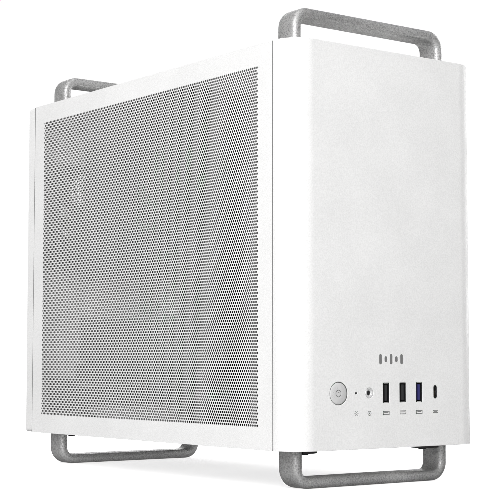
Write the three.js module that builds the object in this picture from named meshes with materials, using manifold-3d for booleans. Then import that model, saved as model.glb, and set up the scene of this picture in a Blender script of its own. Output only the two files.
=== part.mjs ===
// A compact desktop computer tower: a white metal case with perforated side panels, four loop
// handles that double as feet, front connectors, and the working parts that the case holds.
// Millimetres, +Z up. The front faces -Y, +X is to the right as seen from the front, and the
// origin is on the floor under the middle of the case.
import * as THREE from "three";
import { mergeVertices } from "three/addons/utils/BufferGeometryUtils.js";
import Module from "manifold-3d";

const wasm = await Module();
wasm.setup();

// Driving dimensions of the case
const bodyWidth = 182;
const bodyDepth = 375;
const bodyHeight = 287;
const frontCornerRadius = 20;
const rearCornerRadius = 3;
const frontSeamDepth = 21.75;
const rearSeamDepth = 364.4;
const seamGap = 1;
const gap = 0.3;

// Sheet thicknesses
const frontSkin = 2;
const sideSkin = 1.5;
const coverSkin = 1.5;
const innerSheet = 1.2;

// Loop handles: a flat bar with fully rounded edges, bent into a U
const handleRise = 27.4;
const handleInset = 17.1;
const handleThickness = 7.8;
const handleWidth = 21;
const handleFrontDepth = 18.05;
const handleRearDepth = 342.7;
const handleOuterBend = 14;
const tabLength = 17.5;
const tabWidth = 18;
const tabThickness = 3;

// Front connectors, all on one line: X positions from the middle of the front
const connectorHeight = 39.3;
const powerButtonX = -49.6;
const powerButtonRadius = 7.75;
const powerButtonTravel = 1.2;
const statusLightX = -33.3;
const audioJackX = -21;
const usbPortX = [-5, 11.2, 27.4];
const usbPortSize = [6.2, 14.2];
const typeCX = 43.7;
const typeCSize = [3.5, 9.8];

// The board, the card slots and the rear openings
const boardFaceX = 64;
const boardThickness = 1.6;
const boardSize = 244;
const boardGap = 6.4;
const boardBottomRise = 12.6;
const slotPitch = 20.32;
const slotCount = 4;
const slotCoverWidth = 18.4;
const slotRise = 17.8;
const slotOpening = 14;

// Inner front frame, folds of the cover plates, and the tray behind the board
const frontFrameDepth = 25.5;
const frontFrameFold = 9.2;
const coverFold = 13;
const coverFoldX = 80.3;
const trayFold = 8;
const ribDepth = 7.5;
const ribInset = 10;
const studRadius = 2.5;

// Fans, cooler, card and power supply
const rearFanSize = 92;
const largeFanSize = 120;
const fanDepth = 25;
const coolerDepth = 50;
const coolerPlateCount = 13;
const coolerPlatePitch = 8.4;
const coolerPlateThickness = 3;
const cardBoardThickness = 1.6;
const cardFanRadius = 42;
const supplyWidth = 125;
const supplyDepth = 63.5;
const supplyHeight = 100;
const supplyBottomZ = 131;
const supplyWall = 1.2;
const supplyFanRadius = 36;
const rockerSwing = 16;

// Places worked out from the driving dimensions
const sideX = bodyWidth / 2;
const frontY = -bodyDepth / 2;
const rearY = bodyDepth / 2;
const bodyBottom = handleRise;
const bodyTop = bodyBottom + bodyHeight;
const frontPanelRearY = frontY + frontSeamDepth - seamGap / 2;
const sidePanelFrontY = frontY + frontSeamDepth + seamGap / 2;
const sidePanelRearY = frontY + rearSeamDepth - seamGap / 2;
const rearWallY = frontY + rearSeamDepth + seamGap / 2;
const floorZ = bodyBottom + coverSkin;
const ceilingZ = bodyTop - coverSkin;
const connectorZ = bodyBottom + connectorHeight;
const boardBottomZ = bodyBottom + boardBottomRise;
const boardTopZ = boardBottomZ + boardSize;
const boardRearY = rearWallY - 1.4;
const boardFrontY = boardRearY - boardSize;
const slotZ = Array.from({ length: slotCount }, (_, i) => boardBottomZ + slotRise + i * slotPitch);
const processorY = boardRearY - 98;
const processorZ = boardTopZ - 68;

const tower = new THREE.Group();

// ---------------------------------------------------------------- helpers

// A closed three.js geometry as a solid that can be joined and cut.
function solidOf(geometry) {
  const bare = geometry.clone();
  bare.deleteAttribute("normal");
  bare.deleteAttribute("uv");
  const merged = mergeVertices(bare, 1e-4);
  return new wasm.Manifold(
    new wasm.Mesh({
      numProp: 3,
      vertProperties: merged.attributes.position.array,
      triVerts: new Uint32Array(merged.index.array),
    }),
  );
}

// The solid's surface as a three.js geometry again.
function geometryOf(solid) {
  const surface = solid.getMesh();
  const geometry = new THREE.BufferGeometry();
  geometry.setAttribute("position", new THREE.BufferAttribute(surface.vertProperties, 3));
  geometry.setIndex(new THREE.BufferAttribute(surface.triVerts, 1));
  geometry.computeVertexNormals();
  return geometry;
}

function finish(colour, roughness, metalness) {
  return new THREE.MeshStandardMaterial({ color: colour, roughness, metalness });
}

// Adds one sub-part to the tower, with a material of its own.
function addPart(name, solid, material) {
  const mesh = new THREE.Mesh(geometryOf(solid), material);
  mesh.name = name;
  tower.add(mesh);
  return mesh;
}

function block(x, y, z) {
  const box = new THREE.BoxGeometry(x[1] - x[0], y[1] - y[0], z[1] - z[0]);
  return solidOf(box.translate((x[0] + x[1]) / 2, (y[0] + y[1]) / 2, (z[0] + z[1]) / 2));
}

// A round bar along one axis, from one station to another, through a centre given as x, y, z.
function rod(axis, radius, from, to, centre, sides = 24) {
  const bar = new THREE.CylinderGeometry(radius, radius, to - from, sides);
  if (axis === "x") bar.rotateZ(-Math.PI / 2);
  if (axis === "z") bar.rotateX(Math.PI / 2);
  const place = new THREE.Vector3(...centre);
  place[axis] = (from + to) / 2;
  return solidOf(bar.translate(place.x, place.y, place.z));
}

// An outline in X and Y, made tall from z[0] to z[1].
function prismZ(shape, z, curveSegments = 4) {
  const depth = z[1] - z[0];
  const prism = new THREE.ExtrudeGeometry(shape, { depth, bevelEnabled: false, curveSegments });
  return solidOf(prism.translate(0, 0, z[0]));
}

// An outline in X and Z, made deep from y[0] to y[1].
function prismY(shape, y, curveSegments = 4) {
  const depth = y[1] - y[0];
  const prism = new THREE.ExtrudeGeometry(shape, { depth, bevelEnabled: false, curveSegments });
  return solidOf(prism.rotateX(Math.PI / 2).translate(0, y[1], 0));
}

function joined(solids) {
  return solids.reduce((whole, next) => whole.add(next));
}

function cut(solid, holes) {
  return holes.reduce((whole, hole) => whole.subtract(hole), solid);
}

// A span of a given length about its middle.
function about(middle, length) {
  return [middle - length / 2, middle + length / 2];
}

function roundedRectangle(x, y, radius) {
  const shape = new THREE.Shape();
  shape.moveTo(x[0] + radius, y[0]);
  shape.lineTo(x[1] - radius, y[0]);
  shape.absarc(x[1] - radius, y[0] + radius, radius, -Math.PI / 2, 0);
  shape.absarc(x[1] - radius, y[1] - radius, radius, 0, Math.PI / 2);
  shape.absarc(x[0] + radius, y[1] - radius, radius, Math.PI / 2, Math.PI);
  shape.absarc(x[0] + radius, y[0] + radius, radius, Math.PI, Math.PI * 1.5);
  return shape;
}

// ---------------------------------------------------------------- materials

const whitePaint = () => finish(0xeeeeec, 0.5, 0.1);
const blastedAluminium = () => finish(0xa8a8a6, 0.45, 0.9);
const blackPlastic = () => finish(0x141414, 0.5, 0);
const blackSteel = () => finish(0x1c1c1d, 0.5, 0.5);
const turnedSteel = () => finish(0xd6d6d6, 0.3, 1);
const circuitBoard = () => finish(0x16221c, 0.6, 0);
const bareSteel = () => finish(0xb4b4b6, 0.4, 0.9);
const fanPlastic = () => finish(0x202022, 0.55, 0);
const cableSleeve = () => finish(0x101010, 0.7, 0);

// ---------------------------------------------------------------- the shell

// The front panel's outline from above: a flat front with a rounded corner at each end.
function frontPanelOutline() {
  const inner = frontCornerRadius - frontSkin;
  const cornerX = sideX - frontCornerRadius;
  const cornerY = frontY + frontCornerRadius;
  const shape = new THREE.Shape();
  shape.moveTo(-sideX, frontPanelRearY);
  shape.lineTo(-sideX, cornerY);
  shape.absarc(-cornerX, cornerY, frontCornerRadius, Math.PI, Math.PI * 1.5);
  shape.absarc(cornerX, cornerY, frontCornerRadius, -Math.PI / 2, 0);
  shape.lineTo(sideX, frontPanelRearY);
  shape.lineTo(sideX - frontSkin, frontPanelRearY);
  shape.absarc(cornerX, cornerY, inner, 0, -Math.PI / 2, true);
  shape.absarc(-cornerX, cornerY, inner, -Math.PI / 2, -Math.PI, true);
  shape.lineTo(-sideX + frontSkin, frontPanelRearY);
  return shape;
}

function makeFrontPanel() {
  const shell = prismZ(frontPanelOutline(), [bodyBottom, bodyTop], 4);
  const through = [frontY - 1, frontY + frontSkin + 1];
  const roundHole = (x, radius) => rod("y", radius, ...through, [x, 0, connectorZ]);
  const slot = (x, size, radius) => {
    const outline = roundedRectangle(about(x, size[0]), about(connectorZ, size[1]), radius);
    return prismY(outline, through, 2);
  };
  const holes = [
    roundHole(powerButtonX, powerButtonRadius + gap),
    roundHole(statusLightX, 1.1),
    roundHole(audioJackX, 3.8),
    ...usbPortX.map((x) => slot(x, usbPortSize, 0.4)),
    slot(typeCX, typeCSize, typeCSize[0] / 2 - 0.01),
  ];
  addPart("front_panel", cut(shell, holes), whitePaint());
}

// A side panel: a flat sheet with two stiffening ribs and four ball studs that press into clips.
function makeSidePanel(name, side) {
  const face = [side * (sideX - sideSkin), side * sideX].sort((a, b) => a - b);
  const rib = [side * (sideX - sideSkin - ribDepth), side * (sideX - sideSkin)].sort((a, b) => a - b);
  const ribY = [sidePanelFrontY + 15, sidePanelRearY - 16];
  const studY = [sidePanelFrontY + 7, sidePanelRearY - 7];
  const sheet = block(face, [sidePanelFrontY, sidePanelRearY], [bodyBottom, bodyTop]);
  const ribs = [bodyBottom + ribInset, bodyTop - ribInset].map((z) =>
    block(rib, ribY, about(z, innerSheet)),
  );
  const studs = studY.flatMap((y) =>
    [bodyBottom + 22, bodyTop - 22].map((z) => rod("x", studRadius, ...rib, [0, y, z], 10)),
  );
  addPart(name, joined([sheet, ...ribs, ...studs]), whitePaint());
}

// The outline of the top and bottom plates, which fill the space between the other panels.
function coverOutline() {
  const radius = frontCornerRadius - frontSkin - gap;
  const x = sideX - frontSkin - gap;
  const y = frontY + frontSkin + gap;
  const shape = new THREE.Shape();
  shape.moveTo(-x, rearWallY - gap);
  shape.lineTo(-x, y + radius);
  shape.absarc(-x + radius, y + radius, radius, Math.PI, Math.PI * 1.5);
  shape.absarc(x - radius, y + radius, radius, -Math.PI / 2, 0);
  shape.lineTo(x, rearWallY - gap);
  return shape;
}

// A top or bottom plate, with a folded flange along each side, clear of the side panels' ribs.
function makeCoverPlate(name, z, inward) {
  const plate = prismZ(coverOutline(), z, 5);
  const flangeY = [sidePanelFrontY + 14, rearWallY - gap];
  const start = inward < 0 ? z[0] : z[1];
  const flangeZ = [start, start + inward * coverFold].sort((a, b) => a - b);
  const flanges = [-1, 1].map((side) => {
    const x = [side * coverFoldX, side * (coverFoldX + innerSheet)].sort((a, b) => a - b);
    return block(x, flangeY, flangeZ);
  });
  addPart(name, joined([plate, ...flanges]), whitePaint());
}

// The inner front frame: a plate behind the front panel with flanges top and bottom.
function makeFrontFrame() {
  const y = [frontY + frontFrameDepth, frontY + frontFrameDepth + innerSheet];
  const z = [floorZ + gap, ceilingZ - gap];
  const x = [-sideX + 6, sideX - 6];
  const plate = block(x, y, z);
  const flange = (from) => block(x, [y[0], y[0] + frontFrameFold], [from, from + innerSheet]);
  const window = block([0, 30], [y[0] - 1, y[1] + 1], about(connectorZ, 24));
  const frame = joined([plate, flange(z[0]), flange(z[1] - innerSheet)]);
  addPart("front_frame", cut(frame, [window]), blackSteel());
}

// The rear wall sits inside a shallow rim, so that connectors don't stand out of the case.
const rearOpeningX = [22, 66.4];
const rearOpeningZ = [slotZ[3] + 13.4, slotZ[3] + 172.1];
const slotEndX = [-42.7, 66];
const tabBandX = [-46.2, -42.7];
const tabBandZ = [slotZ[0] - 10.3, slotZ[3] + 10.3];
const inletX = -66;
const inletZ = slotZ[0] + 2.2;

function makeRearPanel() {
  const ring = (inset, radius) =>
    roundedRectangle([-sideX + inset, sideX - inset], [bodyBottom + inset, bodyTop - inset], radius);
  const tray = prismY(ring(0, rearCornerRadius), [rearWallY, rearY], 3);
  const hollow = prismY(
    ring(innerSheet, rearCornerRadius - innerSheet),
    [rearWallY + innerSheet, rearY + 1],
    3,
  );
  const through = [rearWallY - 1, rearWallY + innerSheet + 1];
  const ledge = block([tabBandX[1], tabBandX[1] + innerSheet], [rearWallY, rearY - 0.6], tabBandZ);
  const holes = [
    block(rearOpeningX, through, rearOpeningZ),
    ...slotZ.map((z) => block(slotEndX, through, about(z, slotOpening))),
    block(tabBandX, through, tabBandZ),
    block(about(inletX, 20.6), through, about(inletZ, 28)),
  ];
  const wall = cut(tray.subtract(hollow), holes);
  addPart("rear_panel", wall.add(ledge), whitePaint());
}

// The motherboard tray, with a flange at its top and bottom and pressed-in board pillars.
const trayFaceX = boardFaceX + boardThickness + boardGap;
const trayX = [trayFaceX, trayFaceX + innerSheet];

function makeMotherboardTray() {
  const y = [boardFrontY - 22, rearWallY - gap];
  const z = [floorZ + 1.1, ceilingZ - 1.1];
  const plate = block(trayX, y, z);
  const flange = (from) => block([trayX[0], trayX[0] + trayFold], y, [from, from + innerSheet]);
  const pillars = [boardRearY - 10, boardRearY - 122, boardFrontY + 16].flatMap((pillarY) =>
    [boardBottomZ + 10, boardBottomZ + 130, boardTopZ - 8].map((pillarZ) =>
      rod("x", 3, boardFaceX + boardThickness + gap, trayX[0] + 0.4, [0, pillarY, pillarZ], 6),
    ),
  );
  const tray = joined([plate, flange(z[0]), flange(z[1] - innerSheet), ...pillars]);
  addPart("motherboard_tray", tray, blackSteel());
}

// ---------------------------------------------------------------- handles

// One loop handle: the U's outline, thin and then swelled to its full round-edged section.
function makeHandle(name, top, startDepth) {
  const core = 0.6;
  const swell = (handleThickness - core) / 2;
  const outerX = sideX - handleInset - swell;
  const innerX = outerX - core;
  const footZ = -2 * swell;
  const outerBend = handleOuterBend - swell;
  const innerBend = outerBend - core;
  const outerZ = handleRise - swell;
  const bendX = outerX - outerBend;
  const bendZ = outerZ - outerBend;
  const shape = new THREE.Shape();
  shape.moveTo(outerX, footZ);
  shape.lineTo(outerX, bendZ);
  shape.absarc(bendX, bendZ, outerBend, 0, Math.PI / 2);
  shape.absarc(-bendX, bendZ, outerBend, Math.PI / 2, Math.PI);
  shape.lineTo(-outerX, footZ);
  shape.lineTo(-innerX, footZ);
  shape.absarc(-bendX, bendZ, innerBend, Math.PI, Math.PI / 2, true);
  shape.absarc(bendX, bendZ, innerBend, Math.PI / 2, 0, true);
  shape.lineTo(innerX, footZ);
  const bar = new THREE.ExtrudeGeometry(shape, {
    depth: handleWidth - 2 * swell,
    bevelThickness: swell,
    bevelSize: swell,
    bevelSegments: 2,
    curveSegments: 3,
  });
  bar.rotateX(Math.PI / 2).translate(0, frontY + startDepth + handleWidth - swell, 0);
  const bodyBlock = block([-sideX, sideX], [frontY, rearY], [-30, 0.1]);
  const solid = solidOf(bar).subtract(bodyBlock);
  const mesh = addPart(name, solid, blastedAluminium());
  mesh.position.z = top ? bodyTop : bodyBottom;
  if (!top) {
    mesh.rotation.y = Math.PI;
  }
}

// The black tab that fixes a handle's leg: it runs inward from the leg and ends in a half circle.
function makeHandleTab(name, top, side, startDepth) {
  const legX = sideX - handleInset - handleThickness - gap;
  const radius = tabWidth / 2;
  const middleY = frontY + startDepth + handleWidth / 2;
  const endX = legX - tabLength + radius;
  const shape = new THREE.Shape();
  shape.moveTo(legX, middleY - radius);
  shape.lineTo(legX, middleY + radius);
  shape.absarc(endX, middleY, radius, Math.PI / 2, Math.PI * 1.5);
  const clear = 0.1;
  const above = [bodyTop + clear, bodyTop + tabThickness];
  const below = [bodyBottom - tabThickness, bodyBottom - clear];
  const z = top ? above : below;
  const mesh = addPart(name, prismZ(shape, z), blackSteel());
  if (side < 0) {
    mesh.rotation.z = Math.PI;
    mesh.position.y = 2 * middleY;
  }
}

function makeHandles() {
  for (const [level, top] of [["top", true], ["bottom", false]]) {
    for (const [end, depth] of [["front", handleFrontDepth], ["rear", handleRearDepth]]) {
      makeHandle(`handle_${level}_${end}`, top, depth);
      makeHandleTab(`handle_tab_${level}_${end}_left`, top, -1, depth);
      makeHandleTab(`handle_tab_${level}_${end}_right`, top, 1, depth);
    }
  }
}

// ---------------------------------------------------------------- front connectors

const connectorBoardY = [frontY + 16.5, frontY + 16.5 + boardThickness];
const switchFaceY = frontY + 9.3;

// The button: a cap that fills its hole, a flange that stops it from coming out, and a stem.
function makePowerButton() {
  const face = 0.1;
  const flangeFront = frontSkin + gap;
  const flangeRear = flangeFront + 1;
  const stemEnd = switchFaceY - frontY - powerButtonTravel - gap;
  const profile = [
    [0, face],
    [powerButtonRadius - 0.4, face],
    [powerButtonRadius, face + 0.4],
    [powerButtonRadius, flangeFront],
    [powerButtonRadius + 1.2, flangeFront],
    [powerButtonRadius + 1.2, flangeRear],
    [2, flangeRear],
    [2, stemEnd],
    [0, stemEnd],
  ];
  const points = profile.map(([radius, depth]) => new THREE.Vector2(radius, depth));
  const lathe = new THREE.LatheGeometry(points, 24);
  const button = solidOf(lathe.translate(powerButtonX, frontY, connectorZ));
  addPart("power_button", button, turnedSteel());
}

function makePowerSwitch() {
  const bodyX = about(powerButtonX, 12);
  const bodyZ = about(connectorZ, 12);
  const body = block(bodyX, [switchFaceY, connectorBoardY[0] - 0.1], bodyZ);
  addPart("power_switch", body, blackPlastic());
}

function makeConnectorBoard() {
  const board = block([-62, 56], connectorBoardY, about(connectorZ, 34));
  addPart("io_board", board, circuitBoard());
  const postY = [connectorBoardY[1] + gap, frontY + frontFrameDepth - gap];
  const low = connectorZ - 23;
  const post = (x) => block(x, postY, [low, connectorZ + 20]);
  const bar = block([-64, 58], postY, [low, low + 4]);
  addPart("io_bracket", joined([post([-64, -57.5]), post([51.5, 58]), bar]), blackPlastic());
}

// A USB-A socket: a shell open at the front with its contact tongue inside.
function makeUsbPort(name, x) {
  const y = [frontY + 1, connectorBoardY[0] - 0.1];
  const width = usbPortSize[0] - 2 * gap;
  const height = usbPortSize[1] - 2 * gap;
  const wall = 0.4;
  const shell = block(about(x, width), y, about(connectorZ, height));
  const mouth = block(
    about(x, width - 2 * wall),
    [y[0] - 1, y[1] - 2],
    about(connectorZ, height - 2 * wall),
  );
  const tongue = block(about(x + 0.9, 1.8), [y[0] + 2.2, y[1] - 1], about(connectorZ, 11.2));
  addPart(name, shell.subtract(mouth).add(tongue), blackPlastic());
}

function makeTypeCPort() {
  const y = [frontY + 1, connectorBoardY[0] - 0.1];
  const outline = (inset) => {
    const size = typeCSize.map((length) => length - 2 * inset);
    return roundedRectangle(about(typeCX, size[0]), about(connectorZ, size[1]), size[0] / 2 - 0.01);
  };
  const shell = prismY(outline(gap), y, 3);
  const mouth = prismY(outline(gap + 0.35), [y[0] - 1, y[1] - 2], 3);
  const tongue = block(about(typeCX, 0.7), [y[0] + 1.2, y[1] - 1], about(connectorZ, 6.6));
  addPart("usb_c_port", shell.subtract(mouth).add(tongue), bareSteel());
}

function makeAudioJack() {
  const centre = [audioJackX, 0, connectorZ];
  const barrel = rod("y", 3.5, frontY + 0.1, frontY + 5, centre, 20);
  const body = block(about(audioJackX, 10.6), [frontY + 4, connectorBoardY[0] - 0.1], about(connectorZ, 12));
  const bore = rod("y", 1.8, frontY - 1, frontY + 14.5, centre, 16);
  addPart("audio_jack", barrel.add(body).subtract(bore), bareSteel());
}

function makeLightPipe() {
  const centre = [statusLightX, 0, connectorZ];
  const pin = rod("y", 0.8, frontY + 0.3, connectorBoardY[0] - 0.1, centre, 12);
  const foot = rod("y", 2.2, connectorBoardY[0] - 5, connectorBoardY[0] - 0.1, centre, 12);
  addPart("status_light_pipe", pin.add(foot), finish(0xf4f4f4, 0.2, 0));
}

// ---------------------------------------------------------------- fans

// A square fan frame, its axis along local Z: bore, four struts and the motor seat at the back.
function fanFrame(size, depth) {
  const half = depth / 2;
  const bore = size / 2 - 2.5;
  const seat = size / 6 + 2;
  const strut = 4;
  const shell = block(about(0, size), about(0, size), [-half, half]);
  const ring = shell.subtract(rod("z", bore, -half - 1, half + 1, [0, 0, 0], 32));
  const seatDisc = rod("z", seat, half - strut, half, [0, 0, 0], 24);
  const struts = [
    block(about(0, size - 3), about(0, strut), [half - strut + 1, half - 0.5]),
    block(about(0, strut), about(0, size - 3), [half - strut + 1, half - 0.5]),
  ];
  return joined([ring, seatDisc, ...struts]);
}

// A rotor: a hub with tilted blades, its axis along local Z, centred on its own depth.
function fanRotor(tip, hub, depth, blades) {
  const lean = 0.6;
  const chord = (depth - 2) / Math.sin(lean);
  const inner = hub - 3;
  const wheel = [rod("z", hub, -depth / 2, depth / 2, [0, 0, 0], 24)];
  for (let i = 0; i < blades; i += 1) {
    const blade = new THREE.BoxGeometry(tip - inner, chord * 0.9, 1.4);
    blade.rotateX(lean).translate((tip + inner) / 2, 0, 0).rotateZ((i * 2 * Math.PI) / blades);
    wheel.push(solidOf(blade));
  }
  return joined(wheel);
}

// Adds a fan part turned so that its axis lies along X, Y or Z, at a place in the case.
function placeFan(name, solid, axis, place) {
  const mesh = addPart(name, solid, fanPlastic());
  if (axis === "y") mesh.rotation.x = -Math.PI / 2;
  mesh.position.set(...place);
}

const rearFanPlace = [-36, rearWallY - gap - fanDepth / 2, processorZ];
const topFanPlace = [0, 60, ceilingZ - 0.8 - fanDepth / 2];
const coolerFanPlace = [-24, processorY - coolerDepth / 2 - gap - fanDepth / 2 - 0.5, processorZ];

function makeCaseFans() {
  placeFan("rear_fan_frame", fanFrame(rearFanSize, fanDepth), "y", rearFanPlace);
  placeFan("rear_fan_rotor", fanRotor(41, 17, 16, 7), "y", rearFanPlace);
  placeFan("top_fan_frame", fanFrame(largeFanSize, fanDepth), "z", topFanPlace);
  placeFan("top_fan_rotor", fanRotor(54, 20, 16, 7), "z", topFanPlace);
  placeFan("cooler_fan_frame", fanFrame(largeFanSize, fanDepth), "y", coolerFanPlace);
  placeFan("cooler_fan_rotor", fanRotor(54, 20, 16, 7), "y", coolerFanPlace);
}

// ---------------------------------------------------------------- board, cooler, memory, drive

const memoryY = [processorY - 70, processorY - 89];
const powerSocketZ = processorZ - 24;
const headerY = boardFrontY + 24;

function makeMotherboard() {
  const face = boardFaceX;
  const board = block([face, face + boardThickness], [boardFrontY, boardRearY], [boardBottomZ, boardTopZ]);
  const cardSlot = block([53, face + 0.5], [boardRearY - 99, boardRearY - 10], about(slotZ[3], 7.5));
  const memorySlots = memoryY.map((y) =>
    block([57, face + 0.5], about(y, 6.5), [boardTopZ - 136, boardTopZ - 1.5]),
  );
  const powerSocket = block([52, face + 0.5], [boardFrontY + 2, boardFrontY + 12], about(powerSocketZ, 53));
  const frontHeader = block([57, face + 0.5], about(headerY, 14), about(boardBottomZ + 6, 8));
  const solid = joined([board, cardSlot, ...memorySlots, powerSocket, frontHeader]);
  addPart("motherboard", solid, circuitBoard());
}

function makeProcessorSocket() {
  const frame = block([58.5, 63.7], about(processorY, 76), about(processorZ, 68));
  const lid = block([56.6, 60], about(processorY, 40), about(processorZ, 40));
  addPart("processor_socket", frame.add(lid), bareSteel());
}

// The tower cooler: a base, two posts for its heat pipes, and a stack of plates across them.
function makeCooler() {
  const firstX = -82;
  const plateSpan = [about(processorY, coolerDepth), about(processorZ, largeFanSize)];
  const base = block([48, 56.3], about(processorY, 44), about(processorZ, 44));
  const posts = [-16, 16].map((offset) =>
    block([firstX, 50], about(processorY, 8), about(processorZ + offset, 8)),
  );
  const plates = Array.from({ length: coolerPlateCount }, (_, i) => {
    const x = firstX + i * coolerPlatePitch;
    return block([x, x + coolerPlateThickness], ...plateSpan);
  });
  addPart("cooler_heatsink", joined([base, ...posts, ...plates]), bareSteel());
}

function makeMemory() {
  memoryY.forEach((y, i) => {
    const stick = block([28, 56.7], about(y, 6), [boardTopZ - 135, boardTopZ - 2.5]);
    addPart(`memory_module_${i + 1}`, stick, blackSteel());
  });
}

function makeDrive() {
  const drive = block([59.5, 63.2], [processorY - 52, processorY + 28], about(slotZ[3] + 20, 22));
  addPart("m2_drive", drive, blackSteel());
}

// ---------------------------------------------------------------- rear connectors

// Each group of rear sockets: middle height above the top slot, its length, how far it stands up.
const rearPorts = [
  { rise: 27, length: 26, height: 12 },
  { rise: 55, length: 15, height: 18 },
  { rise: 80, length: 17, height: 28 },
  { rise: 107, length: 15, height: 16 },
  { rise: 130, length: 17, height: 19 },
  { rise: 152, length: 15, height: 16 },
];
const portBaseX = boardFaceX - gap;
const shieldY = [rearWallY - 1.1, rearWallY - 0.3];
const networkSocket = { x: [portBaseX - 27, portBaseX - 15.5], z: about(slotZ[3] + 80, 12.4) };

function makeRearPorts() {
  const y = [boardRearY - 17, rearWallY + 3];
  const base = block([60.5, portBaseX], [y[0], boardRearY - 1], about(slotZ[3] + 89, 146));
  const stacks = rearPorts.map(({ rise, length, height }) =>
    block([portBaseX - height, portBaseX], y, about(slotZ[3] + rise, length)),
  );
  const socket = block(networkSocket.x, [y[1] - 13, y[1] + 1], networkSocket.z);
  addPart("rear_port_block", joined([base, ...stacks]).subtract(socket), bareSteel());
}

function makePortShield() {
  const shield = block([20.5, 68], shieldY, [rearOpeningZ[0] - 1.2, rearOpeningZ[1] + 1.2]);
  const holes = rearPorts.map(({ rise, length, height }) =>
    block(
      [portBaseX - height - gap, portBaseX + gap],
      [shieldY[0] - 1, shieldY[1] + 1],
      about(slotZ[3] + rise, length + 2 * gap),
    ),
  );
  addPart("port_shield", cut(shield, holes), bareSteel());
}

// A card bracket: a plate behind the rear wall with a tab folded out over the ledge.
function bracket(z) {
  const plate = block([tabBandX[1] - 1.3, 69], [shieldY[0] + 0.1, shieldY[1]], z);
  const tab = block([tabBandX[1] - 1.3, tabBandX[1] - gap], [shieldY[0] + 0.1, rearY - 1], z);
  return plate.add(tab);
}

function makeSlotCovers() {
  [0, 1].forEach((i) => {
    addPart(`slot_cover_${i + 1}`, bracket(about(slotZ[i], slotCoverWidth)), blackSteel());
  });
}

// The mains inlet: a flanged body with a deep recess and three blades.
function makeMainsInlet() {
  const outerY = rearWallY + innerSheet + gap;
  const body = block(about(inletX, 20), [outerY - 19, outerY + 1], about(inletZ, 27.4));
  const flange = block(about(inletX, 24), [outerY, outerY + 2], about(inletZ, 31));
  const recess = block(about(inletX, 16.5), [outerY - 13, outerY + 3], about(inletZ, 24));
  const blades = [
    [inletX - 2, inletZ + 7],
    [inletX - 2, inletZ - 7],
    [inletX + 2.5, inletZ],
  ].map(([x, z]) => block(about(x, 4), [outerY - 14, outerY - 4], about(z, 2)));
  addPart("mains_inlet", joined([body.add(flange).subtract(recess), ...blades]), blackPlastic());
}

// ---------------------------------------------------------------- graphics card

const cardFrontY = -50;
const cardFanZ = slotZ[3] - 32;
const cardFanPlaces = [104, 8].map((y) => [4, y, cardFanZ + 6]);

function makeGraphicsCard() {
  const boardZ = about(slotZ[3], cardBoardThickness);
  const board = block([-44, 52.7], [cardFrontY, boardRearY - 0.5], boardZ);
  addPart("graphics_board", board, circuitBoard());
  const shroudZ = [slotZ[3] - 35, boardZ[0] - 0.2];
  const shroud = block([-47, 51], [cardFrontY - 4, 162], shroudZ);
  const pockets = cardFanPlaces.map(([x, y]) =>
    rod("z", cardFanRadius + 3, shroudZ[0] - 1, shroudZ[0] + 15, [x, y, 0], 32),
  );
  addPart("graphics_shroud", cut(shroud, pockets), blackPlastic());
  const plateZ = [slotZ[2] - slotCoverWidth / 2, slotZ[3] + slotCoverWidth / 2];
  addPart("graphics_bracket", bracket(plateZ), bareSteel());
  cardFanPlaces.forEach((place, i) => {
    placeFan(`graphics_fan_rotor_${i + 1}`, fanRotor(cardFanRadius, 16, 10, 9), "z", place);
  });
}

// ---------------------------------------------------------------- power supply

const supplyX = about(0, supplyWidth);
const supplyY = [frontY + frontFrameDepth + 4, frontY + frontFrameDepth + 4 + supplyDepth];
const supplyZ = [supplyBottomZ, supplyBottomZ + supplyHeight];
const supplyMiddleY = (supplyY[0] + supplyY[1]) / 2;
const supplyMiddleZ = (supplyZ[0] + supplyZ[1]) / 2;
const supplyInletX = -35;
const rockerX = 12;

// The supply stands on its bracket with its mains socket and switch facing down.
function makePowerSupply() {
  const outer = block(supplyX, supplyY, supplyZ);
  const inner = block(
    [supplyX[0] + supplyWall, supplyX[1] - supplyWall],
    [supplyY[0] + supplyWall, supplyY[1] - supplyWall],
    [supplyZ[0] + supplyWall, supplyZ[1] - supplyWall],
  );
  const fanPlace = [0, supplyY[1] - 8, supplyMiddleZ];
  const fanHole = rod("y", supplyFanRadius + 2, supplyY[1] - 3, supplyY[1] + 1, fanPlace, 32);
  const below = supplyZ[0] - 1;
  const socketBody = block(about(supplyInletX, 30), about(supplyMiddleY, 22), [supplyZ[0], supplyZ[0] + 14]);
  const socketHole = block(about(supplyInletX, 24.6), about(supplyMiddleY, 16.8), [below, below + 12]);
  const rockerHole = block(about(rockerX, 21), about(supplyMiddleY, 13.4), [below, below + 4]);
  const shell = cut(outer, [inner, fanHole]).add(socketBody);
  addPart("power_supply_case", cut(shell, [socketHole, rockerHole]), blackSteel());
  placeFan("power_supply_fan_rotor", fanRotor(supplyFanRadius, 16, 10, 9), "y", fanPlace);
}

const rockerTilt = THREE.MathUtils.degToRad(rockerSwing / 2);

// The rocker: two faces at a shallow angle, tilted to its on side about an axis along Y.
function makeRocker() {
  const half = 9.2;
  const shape = new THREE.Shape();
  shape.moveTo(-half, -1.6);
  shape.lineTo(0, -0.4);
  shape.lineTo(half, -1.6);
  shape.lineTo(half - 0.6, 2);
  shape.lineTo(0, 4);
  shape.lineTo(-half + 0.6, 2);
  const rocker = prismY(shape, about(0, 12));
  const mesh = addPart("power_supply_rocker", rocker, blackPlastic());
  mesh.position.set(rockerX, supplyMiddleY, supplyZ[0] + 0.6);
  mesh.rotation.y = rockerTilt;
}

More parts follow.
